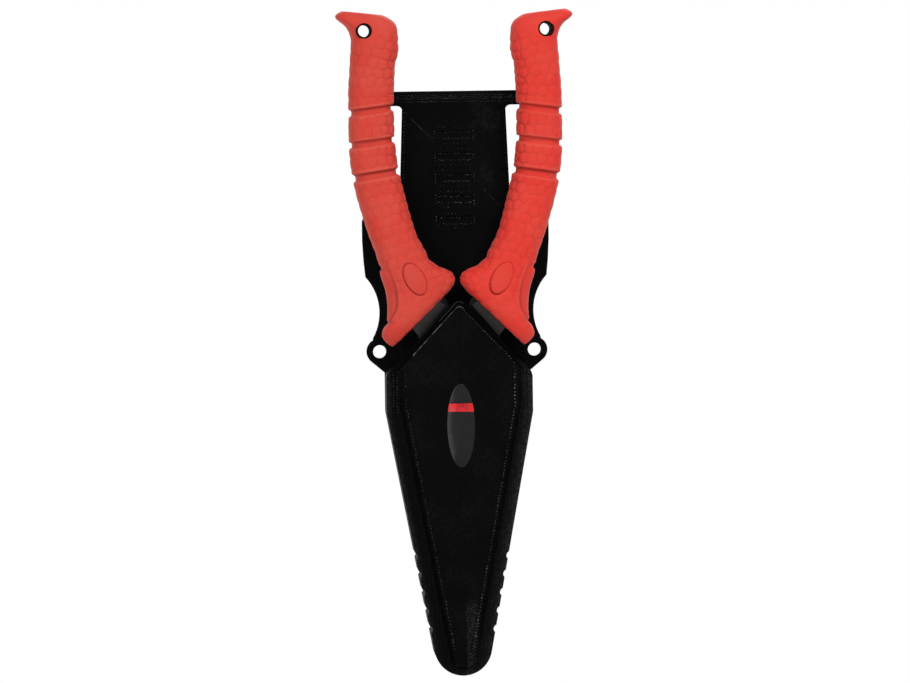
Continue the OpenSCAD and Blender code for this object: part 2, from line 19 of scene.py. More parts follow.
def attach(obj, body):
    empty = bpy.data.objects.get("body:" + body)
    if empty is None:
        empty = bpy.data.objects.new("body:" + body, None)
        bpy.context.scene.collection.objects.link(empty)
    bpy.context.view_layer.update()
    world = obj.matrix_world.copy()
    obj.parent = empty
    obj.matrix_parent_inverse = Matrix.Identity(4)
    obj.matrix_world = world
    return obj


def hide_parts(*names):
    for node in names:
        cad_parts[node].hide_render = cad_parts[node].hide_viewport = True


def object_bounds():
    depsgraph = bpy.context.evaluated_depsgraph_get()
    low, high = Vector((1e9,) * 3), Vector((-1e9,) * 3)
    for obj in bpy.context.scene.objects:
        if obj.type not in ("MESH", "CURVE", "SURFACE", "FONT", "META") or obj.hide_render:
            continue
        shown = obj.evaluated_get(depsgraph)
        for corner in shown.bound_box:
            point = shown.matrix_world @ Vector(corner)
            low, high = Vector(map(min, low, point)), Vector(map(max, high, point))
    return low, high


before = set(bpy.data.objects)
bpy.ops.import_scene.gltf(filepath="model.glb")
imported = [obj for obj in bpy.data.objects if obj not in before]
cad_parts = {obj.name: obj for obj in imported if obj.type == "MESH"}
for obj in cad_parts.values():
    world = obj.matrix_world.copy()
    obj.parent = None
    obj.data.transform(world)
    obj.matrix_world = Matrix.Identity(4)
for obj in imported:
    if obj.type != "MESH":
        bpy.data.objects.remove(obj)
SOLID_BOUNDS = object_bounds()

MM = 0.001
PIVOT = Vector((0.0, -14.6, -57.0))
DESIGN = Matrix.Scale(MM, 4) @ Matrix.Translation(PIVOT)
log = logging.getLogger("pliers")

Piece = bpy.types.Object
Material = bpy.types.Material
Socket = bpy.types.NodeSocket
Points = np.ndarray
Colour = tuple[float, float, float, float]


class Side(Enum):
    """Which half of the pliers a piece belongs to, with the sign of its X."""

    LEFT = -1
    RIGHT = 1

    @property
    def word(self) -> str:
        """The side's name in the names of nodes and bodies."""
        return self.name.lower()

    @property
    def body(self) -> str:
        """The body that the side's pieces ride on."""
        return f"{self.word}_half"

    @property
    def place(self) -> Matrix:
        """Carries a piece modelled at +X, in millimetres, to its side of the frame."""
        return DESIGN @ Matrix.Diagonal((self.value, 1.0, 1.0, 1.0))


def srgb(red: float, green: float, blue: float) -> Colour:
    """Turns a colour of 0 to 255 per channel, as a screen shows it, into a linear one.

    Args:
        red: The red channel.
        green: The green channel.
        blue: The blue channel.

    Returns:
        The linear colour with an alpha of 1.
    """
    def linear(value: float) -> float:
        """Turns one channel linear."""
        share = value / 255
        return share / 12.92 if share <= 0.04045 else ((share + 0.055) / 1.055) ** 2.4

    return (linear(red), linear(green), linear(blue), 1.0)


# -------- Materials --------


class Signal:
    """A shader value that adds Math nodes to its graph when it is used in an expression."""

    def __init__(self, graph: "Graph", socket: Socket) -> None:
        """Wraps a socket.

        Args:
            graph: The graph that the socket's node is in.
            socket: The output that carries the value.
        """
        self.graph = graph
        self.socket = socket

    def __add__(self, other: "Signal | float") -> "Signal":
        """The sum."""
        return self.graph.math("ADD", self, other)

    __radd__ = __add__

    def __sub__(self, other: "Signal | float") -> "Signal":
        """This less the other."""
        return self.graph.math("SUBTRACT", self, other)

    def __rsub__(self, other: float) -> "Signal":
        """The number less this."""
        return self.graph.math("SUBTRACT", other, self)

    def __mul__(self, other: "Signal | float") -> "Signal":
        """The product."""
        return self.graph.math("MULTIPLY", self, other)

    __rmul__ = __mul__

    def __abs__(self) -> "Signal":
        """The size without its sign."""
        return self.graph.math("ABSOLUTE", self)

    def above(self, limit: "Signal | float") -> "Signal":
        """1 where this is more than limit, and 0 elsewhere."""
        return self.graph.math("GREATER_THAN", self, limit)

    def wave(self, pitch: float) -> "Signal":
        """A wave of -1 to 1 that repeats every pitch of this value."""
        return self.graph.math("SINE", self * (2 * math.pi / pitch))

    def eased(self, low: float, high: float, start: float = 0.0, end: float = 1.0) -> "Signal":
        """Eases from start to end while this goes from low to high.

        Args:
            low: Where the change starts.
            high: Where it ends.
            start: The result at low.
            end: The result at high.

        Returns:
            The eased value, which stays within start and end.
        """
        node = self.graph.node(
            "ShaderNodeMapRange",
            {"interpolation_type": "SMOOTHSTEP"},
            {"Value": self, "From Min": low, "From Max": high, "To Min": start, "To Max": end},
        )
        return Signal(self.graph, node.outputs["Result"])


Input = Signal | Socket | float | Sequence[float]


class Graph:
    """A material's nodes, with one Principled shader."""

    def __init__(self, name: str) -> None:
        """Starts an empty material.

        Args:
            name: The material's name.
        """
        self.material = bpy.data.materials.new(name)
        self.material.use_nodes = True
        self.tree = self.material.node_tree
        self.tree.nodes.clear()
        self.shader = self.node("ShaderNodeBsdfPrincipled")
        output = self.node("ShaderNodeOutputMaterial")
        self.tree.links.new(self.shader.outputs[0], output.inputs["Surface"])

    def put(self, socket: Socket, value: Input) -> None:
        """Links a signal or socket to an input, or writes a constant on it.

        Args:
            socket: The input.
            value: The signal, socket or constant.
        """
        if isinstance(value, Signal):
            self.tree.links.new(value.socket, socket)
        elif isinstance(value, Socket):
            self.tree.links.new(value, socket)
        else:
            socket.default_value = value

    def node(
        self,
        kind: str,
        settings: dict[str, object] | None = None,
        inputs: dict[str | int, Input] | None = None,
    ) -> bpy.types.Node:
        """Adds a node.

        Args:
            kind: The node's Blender type.
            settings: The node's own settings, which are made first.
            inputs: Values or links by the name or number of the input.

        Returns:
            The new node.
        """
        made = self.tree.nodes.new(kind)
        for name, value in (settings or {}).items():
            setattr(made, name, value)
        for name, value in (inputs or {}).items():
            self.put(made.inputs[name], value)
        return made

    def math(self, operation: str, *values: Signal | float) -> Signal:
        """Adds a Math node and returns its result.

        Args:
            operation: The node's operation.
            values: Its inputs, in order.

        Returns:
            Its result.
        """
        made = self.node("ShaderNodeMath", {"operation": operation}, dict(enumerate(values)))
        return Signal(self, made.outputs[0])

    def mixed(self, share: Signal, first: Input, second: Input) -> Socket:
        """Mixes two colours.

        Args:
            share: How much of the second colour shows, from 0 to 1.
            first: The first colour.
            second: The second colour.

        Returns:
            The mixed colour's socket.
        """
        inputs = {0: share, 6: first, 7: second}
        return self.node("ShaderNodeMix", {"data_type": "RGBA"}, inputs).outputs[2]

    def place(self) -> tuple[Signal, Signal, Signal]:
        """The shaded point's X, Y and Z in the frame, in millimetres.

        Returns:
            The three values.
        """
        where = self.node("ShaderNodeTexCoord").outputs["Object"]
        parts = self.node("ShaderNodeSeparateXYZ", inputs={0: where})
        return tuple(Signal(self, out) * (1 / MM) for out in parts.outputs)

    def noise(
        self, size: float, detail: float = 2.0, stretch: Sequence[float] = (1, 1, 1)
    ) -> Signal:
        """A soft random value of about 0.3 to 0.7.

        Args:
            size: The blotches' size in millimetres.
            detail: How many finer layers are added.
            stretch: How much faster it changes along X, Y and Z.

        Returns:
            The random value.
        """
        where = self.node("ShaderNodeTexCoord").outputs["Object"]
        turned = self.node("ShaderNodeMapping", inputs={"Vector": where, "Scale": list(stretch)})
        made = self.node(
            "ShaderNodeTexNoise",
            inputs={"Vector": turned.outputs[0], "Scale": 1 / (size * MM), "Detail": detail},
        )
        return Signal(self, made.outputs[0])

    def attribute(self, name: str) -> Signal:
        """A value that is kept on the piece's own points."""
        made = self.node("ShaderNodeAttribute", {"attribute_name": name})
        return Signal(self, made.outputs["Fac"])

    def bump(self, height: Signal, depth: float) -> None:
        """Roughens the surface.

        Args:
            height: The height from 0 to 1.
            depth: How far apart 0 and 1 are, in millimetres.
        """
        made = self.node("ShaderNodeBump", inputs={"Height": height, "Distance": depth * MM})
        self.tree.links.new(made.outputs[0], self.shader.inputs["Normal"])

    def finish(self, **inputs: Input) -> Material:
        """Sets the shader's inputs and returns the material.

        Args:
            inputs: Values or links by the input's name, with underscores for its spaces.

        Returns:
            The material.
        """
        for name, value in inputs.items():
            self.put(self.shader.inputs[name.replace("_", " ")], value)
        return self.material


@dataclass(frozen=True)
class ScaledRubber:
    """Matte coral rubber with painted shade in the creases between its scales and painted highlights
    on its lips and sides.
    """

    name: str
    colour: Colour
    crease: Colour
    deep: Colour
    rubbed: Colour
    roughness: float = 0.62

    def material(self) -> Material:
        """Makes the rubber, which reads the painted shade, painted shadow and painted highlights kept
        on the skin.

        Returns:
            The material.
        """
        graph = Graph(self.name)
        blotch = graph.noise(9, 3).eased(0.35, 0.65)
        grain = graph.noise(0.35, 3)
        # The paler colour shows where the skin keeps its painted highlight, and in random blotches.
        lighter = graph.mixed(graph.attribute("rub") * 0.5 + blotch * 0.22, self.colour, self.rubbed)
        # Painted shade in the creases and grooves, broken up at random, then painted shadow in the
        # deep corners.
        broad = graph.noise(14, 2).eased(0.36, 0.62, 0.22, 0.62)
        faded = broad * graph.noise(2.4, 2).eased(0.36, 0.6, 0.35, 1.0)
        creased = graph.mixed(graph.attribute("crease") * faded, lighter, self.crease)
        colour = graph.mixed(graph.attribute("deep") * 0.8, creased, self.deep)
        graph.bump(grain * 0.6 + graph.noise(1.2, 2) * 0.4, 0.07)
        return graph.finish(
            Base_Color=colour,
            Roughness=self.roughness + (grain - 0.5) * 0.25,
            Specular_IOR_Level=0.22,
            Sheen_Weight=0.08,
            Sheen_Roughness=0.5,
        )


@dataclass(frozen=True)
class LayeredPlastic:
    """Black plastic with the fine diagonal lines in which it was laid down, painted glints on them, a
    painted highlight along the pocket's edges and painted shade over the mouth's rim.

    Its levels and widths are millimetres of the frame.
    """

    name: str
    colour: Colour
    ridge: Colour
    pitch: float = 0.74
    neck_foot: float = -30.0
    glint: float = 0.5
    pocket_share: float = 0.4
    mouth_level: float = -35.8
    mouth_slope: float = 1.068
    half_width: float = 26.25
    taper_level: float = -74.5
    taper_slope: float = 0.1876
    toe_level: float = -145.0
    toe_band: tuple[float, float] = (0.6, 6.0)
    mesh_pitch: float = 1.1
    mesh_lean: float = 0.6
    inner_level: float = -20.0
    relief: float = 0.09
    roughness: float = 0.5

    def material(self) -> Material:
        """Makes the plastic, whose lines slope one way on the neck and fold on the pocket.

        Returns:
            The material.
        """
        graph = Graph(self.name)
        x, y, z = graph.place()
        faces = graph.node("ShaderNodeNewGeometry").outputs["Normal"]
        parts = graph.node("ShaderNodeSeparateXYZ", inputs={0: faces}).outputs
        normal = [Signal(graph, out) for out in parts]
        sloping = abs(normal[0]).eased(0.2, 0.4)
        neck = z.above(self.neck_foot)
        pocket = 1 - neck
        fold = abs(x + (graph.noise(22, 1) - 0.5) * 9)
        run = (z + x * neck - fold * pocket) * math.sqrt(0.5)
        lines = run.wave(self.pitch) * 0.5 + 0.5
        lean = x * self.mesh_lean
        mesh = (z + lean).wave(self.mesh_pitch) * (z - lean).wave(self.mesh_pitch)
        broken = graph.noise(1.4, 3).eased(0.42, 0.62)
        grain = graph.noise(0.45, 3)
        near, far = self.toe_band
        toe = z.eased(self.toe_level, self.toe_level + 5, 1.0, 0.0)
        toe = toe * x.eased(near, near + 1) * x.eased(far - 1.4, far, 1.0, 0.0)
        patch = graph.noise(13, 2).eased(0.42, 0.62, 0.25, 0.95)
        height = lines * (0.3 + 0.7 * patch) + grain * 0.4 + mesh * sloping * 0.4
        graph.bump(height, self.relief)
        on_neck = neck * x.eased(2.0, 11.0, 0.2, 0.85) * z.eased(0.0, 14.0, 0.25, 1.0)
        share = on_neck + pocket * self.pocket_share
        # Painted glints on the crests of the lines: in patches, mostly on the neck's right, fainter
        # on the pocket and strong near the toe.
        flat_glint = lines.eased(0.62, 1.0) * (1 - sloping) * (patch * share + toe * 1.6)
        # A painted highlight in a band along the pocket's outer edges, wider on the right and fading
        # towards the toe; it also strengthens the painted glints on the side mesh.
        below = graph.math("MINIMUM", z - self.taper_level, 0.0)
        inside = self.half_width + below * self.taper_slope - abs(x)
        front = (normal[1] * -1).eased(0.1, 0.3) * sloping * pocket
        edge = inside.eased(0.2, 2.2, 1.0, 0.0) + x.above(0.0) * inside.eased(1.0, 5.5, 0.7, 0.0)
        mesh_glint = mesh.eased(0.35, 0.95) * sloping * (0.3 + 0.5 * edge)
        # Painted shade over the mouth's rim above the panel's sloping top edges, with no glints or
        # grain there.
        lip = (z + abs(x) * self.mouth_slope).eased(self.mouth_level, self.mouth_level + 0.6)
        painted_mouth_shade = lip * (1 - y.above(self.inner_level))
        glint = (flat_glint + mesh_glint) * (0.35 + 0.65 * broken) * (1 - painted_mouth_shade)
        lighter = front * edge * (0.1 + 0.15 * broken) * z.eased(-165.0, -90.0, 0.5, 1.0)
        return graph.finish(
            Base_Color=graph.mixed(
                glint * self.glint + lighter + grain * (1 - painted_mouth_shade) * 0.03, self.colour, self.ridge
            ),
            Roughness=self.roughness + (grain - 0.5) * 0.3 - glint * 0.15 + painted_mouth_shade * 0.3,
            Specular_IOR_Level=0.02,
        )


@dataclass(frozen=True)
class HighlightPlastic:
    """The same plastic on raised grains and ridges, with painted highlights in paler streaks here and
    there.
    """

    name: str
    colour: Colour
    rubbed: Colour

    def material(self) -> Material:
        """Makes the plastic with painted highlights.

        Returns:
            The material.
        """
        graph = Graph(self.name)
        streak = graph.noise(2.2, 3).eased(0.36, 0.66)
        cloud = graph.noise(17, 1).eased(0.3, 0.7)
        graph.bump(graph.noise(0.3, 2), 0.03)
        return graph.finish(
            Base_Color=graph.mixed(streak * (0.35 + 0.65 * cloud), self.colour, self.rubbed),
            Roughness=0.34 + streak * 0.2,
            Specular_IOR_Level=0.2,
        )


@dataclass(frozen=True)
class CoatedSteel:
    """Dark coated steel with a faint satin grain."""

    name: str
    colour: Colour
    lighter: Colour
    roughness: float = 0.36
    metal: float = 0.5
    specular: float = 0.1

    def material(self) -> Material:
        """Makes the coated steel, brushed along the levers.

        Returns:
            The material.
        """
        graph = Graph(self.name)
        brush = graph.noise(0.4, 3, (1, 1, 0.08))
        cloud = graph.noise(11, 3).eased(0.4, 0.7)
        graph.bump(brush, 0.02)
        return graph.finish(
            Base_Color=graph.mixed(cloud * 0.3 + (brush - 0.4) * 0.4, self.colour, self.lighter),
            Metallic=self.metal,
            Specular_IOR_Level=self.specular,
            Roughness=self.roughness + (brush - 0.5) * 0.3,
        )


@dataclass(frozen=True)
class TurnedSteel:
    """Bright steel with fine turning rings about an axis along Y."""

    name: str
    colour: Colour
    dull: Colour
    centre: tuple[float, float] = (0.0, 0.0)
    pitch: float = 0.16
    roughness: float = 0.34

    def material(self) -> Material:
        """Makes the turned steel.

        Returns:
            The material.
        """
        graph = Graph(self.name)
        x, _, z = graph.place()
        across = x - self.centre[0]
        along = z - (self.centre[1] + PIVOT.z)
        radius = graph.math("SQRT", across * across + along * along)
        rings = radius.wave(self.pitch) * 0.5 + 0.5
        smear = graph.noise(2.5, 4)
        graph.bump(rings * 0.85 + smear * 0.15, 0.012)
        return graph.finish(
            Base_Color=graph.mixed(smear.eased(0.4, 0.7), self.colour, self.dull),
            Metallic=1.0,
            Roughness=self.roughness + (smear - 0.5) * 0.15,
        )


@dataclass(frozen=True)
class Enamel:
    """Glossy filled enamel with a faint flow in it."""

    name: str
    colour: Colour
    deep: Colour
    roughness: float = 0.16

    def material(self) -> Material:
        """Makes the enamel.

        Returns:
            The material.
        """
        graph = Graph(self.name)
        flow = graph.noise(3.5, 3)
        graph.bump(flow, 0.03)
        return graph.finish(
            Base_Color=graph.mixed(flow.eased(0.35, 0.7), self.colour, self.deep),
            Roughness=self.roughness + (flow - 0.5) * 0.12,
            Coat_Weight=0.12,
            Coat_Roughness=0.08,
            Specular_IOR_Level=0.16,
        )


@dataclass(frozen=True)
class Paper:
    """Plain pale paper for the studio's floor."""

    name: str
    colour: Colour

    def material(self) -> Material:
        """Makes the paper.

        Returns:
            The material.
        """
        graph = Graph(self.name)
        fibre = graph.noise(1.5, 3)
        shade = graph.mixed(fibre * 0.06, self.colour, (0.7, 0.7, 0.7, 1.0))
        return graph.finish(Base_Color=shade, Roughness=0.9, Specular_IOR_Level=0.1)


@dataclass(frozen=True)
class Finishes:
    """The object's materials, each made once."""

    rubber: dict[Side, Material]
    inlay: dict[Side, Material]
    plastic: Material
    rubbed: Material
    grained: Material
    faint: Material
    coated: Material
    ground: Material
    turned: Material
    ring: Material
    badge: Material
    band: Material
    paper: Material

    @classmethod
    def make(cls) -> "Finishes":
        """Makes all the materials.

        Returns:
            The materials.
        """
        # Painted shade in the rubber's creases and painted shadow in its deepest corners.
        crease, deep = srgb(168, 34, 30), srgb(124, 8, 8)

        def rubbers(kind: str, *shades: tuple[Colour, Colour]) -> dict[Side, Material]:
            """Makes one rubber a side from its colour and its paler colour for painted highlights and
            random blotches.

            Args:
                kind: What the rubber's name ends with.
                shades: A side's colour and paler colour.

            Returns:
                The rubbers by side.
            """
            return {
                side: ScaledRubber(f"{side.word}_{kind}", base, crease, deep, rubbed).material()
                for side, (base, rubbed) in zip(Side, shades)
            }

        return cls(
            # The right half's rubber and inlay are a little brighter and redder than the left's:
            # painted light from the right.
            rubber=rubbers(
                "rubber",
                (srgb(208, 60, 46), srgb(214, 92, 76)),
                (srgb(222, 53, 41), srgb(224, 84, 68)),
            ),
            inlay=rubbers(
                "inlay",
                (srgb(204, 62, 49), srgb(210, 88, 74)),
                (srgb(218, 55, 43), srgb(220, 80, 66)),
            ),
            # The plastic's second colour paints glints and an edge highlight; the paler second
            # colours of the next three paint highlights on grains and ridges.
            plastic=LayeredPlastic("sheath_plastic", srgb(3, 3, 3), srgb(62, 62, 64)).material(),
            rubbed=HighlightPlastic(
                "rubbed_plastic", srgb(12, 12, 12), srgb(128, 128, 130)
            ).material(),
            grained=HighlightPlastic("grained_plastic", srgb(12, 12, 12), srgb(92, 92, 94)).material(),
            faint=HighlightPlastic("faint_plastic", srgb(9, 9, 9), srgb(54, 54, 56)).material(),
            coated=CoatedSteel("coated_steel", srgb(7, 6, 6), srgb(20, 19, 18)).material(),
            ground=CoatedSteel(
                "ground_steel", srgb(39, 37, 36), srgb(66, 62, 60), 0.5, 0.35, 0.05
            ).material(),
            turned=TurnedSteel("bright_steel", srgb(158, 158, 161), srgb(142, 142, 145)).material(),
            ring=CoatedSteel(
                "dark_ring", srgb(30, 14, 14), srgb(52, 26, 24), 0.7, 0.0, 0.02
            ).material(),
            badge=Enamel("badge_gloss", srgb(15, 14, 14), srgb(9, 8, 8)).material(),
            band=Enamel("badge_red", srgb(214, 38, 42), srgb(170, 24, 30), 0.22).material(),
            paper=Paper("studio_paper", (0.86, 0.86, 0.86, 1.0)).material(),
        )


# -------- Modelling helpers --------


def only(piece: Piece) -> None:
    """Makes a piece the active one, and the only one selected.

    Args:
        piece: The piece.
    """
    bpy.ops.object.select_all(action="DESELECT")
    piece.select_set(True)
    bpy.context.view_layer.objects.active = piece


def edit(piece: Piece, kind: str = "FACE") -> None:
    """Opens a piece in edit mode with nothing selected.

    Args:
        piece: The piece.
        kind: What is selected in it: VERT, EDGE or FACE.
    """
    only(piece)
    bpy.ops.object.mode_set(mode="EDIT")
    bpy.ops.mesh.select_mode(type=kind)
    bpy.ops.mesh.select_all(action="DESELECT")


def select_everything() -> None:
    """Selects all of the piece being edited."""
    bpy.ops.mesh.select_all(action="SELECT")


def done() -> None:
    """Leaves edit mode."""
    bpy.ops.object.mode_set(mode="OBJECT")


def select_faces(piece: Piece, wanted: Callable[[bpy.types.MeshPolygon], bool]) -> None:
    """Selects the faces that a test picks. The piece is in edit mode before and after.

    Args:
        piece: The piece being edited.
        wanted: The test, which sees one face at a time.
    """
    done()
    for face in piece.data.polygons:
        face.select = wanted(face)
    for part in (*piece.data.edges, *piece.data.vertices):
        part.select = False
    bpy.ops.object.mode_set(mode="EDIT")
    bpy.ops.mesh.select_mode(type="FACE")


def trimmed(place: Sequence[float], way: Sequence[float], fill: bool = False) -> None:
    """Cuts off what lies beyond a plane on the piece being edited.

    Args:
        place: A point on the plane.
        way: The direction that is cut off, of length 1.
        fill: Whether the cut is closed with a face.
    """
    select_everything()
    bpy.ops.mesh.bisect(plane_co=place, plane_no=way, clear_outer=True, use_fill=fill)


def pulled(y: float) -> None:
    """Extrudes the whole flat piece being edited by y."""
    select_everything()
    bpy.ops.mesh.extrude_region_move(TRANSFORM_OT_translate={"value": (0, y, 0)})


def rimmed(width: float) -> None:
    """Leaves only a rim of the flat piece being edited, width wide.

    Args:
        width: The rim's width.
    """
    select_everything()
    bpy.ops.mesh.inset(thickness=width)
    bpy.ops.mesh.delete(type="FACE")


def apply(piece: Piece, kind: str, **settings: object) -> None:
    """Adds a modifier to a piece and applies it.

    Args:
        piece: The piece.
        kind: The modifier's type.
        settings: The modifier's own settings.
    """
    only(piece)
    modifier = piece.modifiers.new(kind.lower(), kind)
    for name, value in settings.items():
        setattr(modifier, name, value)
    bpy.ops.object.modifier_apply(modifier=modifier.name)


def smooth(piece: Piece, angle: float = 32.0) -> None:
    """Shades a piece smooth, except over edges sharper than angle degrees."""
    only(piece)
    bpy.ops.object.shade_smooth_by_angle(angle=math.radians(angle))


def outwards(piece: Piece) -> None:
    """Turns all of a closed piece's faces outwards.

    Args:
        piece: The piece.
    """
    edit(piece)
    select_everything()
    bpy.ops.mesh.normals_make_consistent(inside=False)
    done()


def joined(name: str, pieces: Sequence[Piece]) -> Piece:
    """Joins pieces into one.

    Args:
        name: The joined piece's name.
        pieces: Two or more pieces, of which the first is kept.

    Returns:
        The joined piece.
    """
    bpy.ops.object.select_all(action="DESELECT")
    for piece in pieces:
        piece.select_set(True)
    bpy.context.view_layer.objects.active = pieces[0]
    bpy.ops.object.join()
    pieces[0].name = name
    pieces[0].data.name = name
    return pieces[0]


def copied(source: Piece, matrix: Matrix, name: str = "copy") -> Piece:
    """Copies a piece with its own mesh, moved by a matrix.

    Args:
        source: The piece to copy.
        matrix: Where the copy's mesh goes.
        name: The copy's name.

    Returns:
        The copy, with its object at the origin.
    """
    mesh = source.data.copy()
    mesh.transform(matrix)
    piece = bpy.data.objects.new(name, mesh)
    bpy.context.scene.collection.objects.link(piece)
    return piece


def seated(piece: Piece) -> Piece:
    """Moves a piece's place from its object into its mesh.

    Args:
        piece: The piece.

    Returns:
        The same piece, with its object at the origin.
    """
    bpy.context.view_layer.update()
    piece.data.transform(piece.matrix_world)
    piece.matrix_world = Matrix.Identity(4)
    return piece


def sheet(size: float, y: float, z: float) -> Piece:
    """Models a square sheet that faces the front.

    Args:
        size: The length of its sides.
        y: Its depth.
        z: The height of its middle.

    Returns:
        The sheet, in edit mode.
    """
    bpy.ops.mesh.primitive_plane_add(size=size, location=(0, y, z), rotation=(math.pi / 2, 0, 0))
    piece = seated(bpy.context.active_object)
    edit(piece)
    return piece


def plated(piece: Piece, name: str, bevel: float, segments: int, place: Matrix = DESIGN) -> None:
    """Finishes the plate being edited: its name, its place in the frame and its rounded edges.

    Args:
        piece: The closed plate, in millimetres.
        name: Its name.
        bevel: The width of its rounded edges, in millimetres.
        segments: How many faces go round an edge.
        place: What carries it into the frame.
    """
    done()
    piece.name = name
    piece.data.transform(place)
    outwards(piece)
    width = bevel * MM
    apply(piece, "BEVEL", width=width, segments=segments, limit_method="ANGLE", angle_limit=0.5)
    smooth(piece)


def dressed(piece: Piece, material: Material) -> None:
    """Gives a piece one material all over."""
    piece.data.materials.clear()
    piece.data.materials.append(material)


def show(piece: Piece, body: str, slot: str, material: Material, *nodes: str) -> None:
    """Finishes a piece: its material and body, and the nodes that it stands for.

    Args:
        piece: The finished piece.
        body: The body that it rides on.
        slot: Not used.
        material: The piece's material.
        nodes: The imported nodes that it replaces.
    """
    dressed(piece, material)
    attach(piece, body)
    if nodes:
        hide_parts(*nodes)
    log.info("%s: %d faces on %s", piece.name, len(piece.data.polygons), body)


@dataclass
class SoftEdges:
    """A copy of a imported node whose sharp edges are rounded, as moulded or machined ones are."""

    node: str
    width: float
    segments: int = 3
    sharp: float = 35.0
    weld: float = 0.02
    flat: float = 0.6

    def welded(self) -> Piece:
        """Copies the node and joins its loose triangles into faces.

        Returns:
            The copy.
        """
        piece = copied(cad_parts[self.node], Matrix.Identity(4), f"{self.node}_soft")
        edit(piece, "VERT")
        select_everything()
        bpy.ops.mesh.remove_doubles(threshold=self.weld * MM)
        bpy.ops.mesh.dissolve_limited(angle_limit=math.radians(self.flat))
        done()
        return piece

    def build(
        self,
        body: str,
        slot: str,
        material: Material,
        cut: Callable[[Piece], None] | None = None,
    ) -> None:
        """Copies the node, rounds the copy's sharp edges and shows it in the node's place.

        Args:
            body: The body that it rides on.
            slot: The record's material slot.
            material: The piece's material.
            cut: What is done to the copy before it is rounded, if anything.
        """
        piece = self.welded()
        if cut:
            cut(piece)
        apply(
            piece,
            "BEVEL",
            width=self.width * MM,
            segments=self.segments,
            limit_method="ANGLE",
            angle_limit=math.radians(self.sharp),
            use_clamp_overlap=True,
        )
        smooth(piece)
        show(piece, body, slot, material, self.node)


# -------- Grips --------


@dataclass(frozen=True)
class Section:
    """A grip's cross section, in millimetres about the pivot."""

    x: float
    z: float
    tilt: float
    half_width: float
    half_depth: float


def bell(value: Points, middle: float, width: float) -> Points:
    """Is 1 at the middle, and falls off on both sides over about the width."""
    return np.exp(-(((value - middle) / width) ** 2))


def eased(value: Points, low: float, high: float | Points) -> Points:
    """Goes smoothly from 0 at low to 1 at high."""
    share = np.clip((value - low) / (high - low), 0.0, 1.0)
    return share * share * (3 - 2 * share)


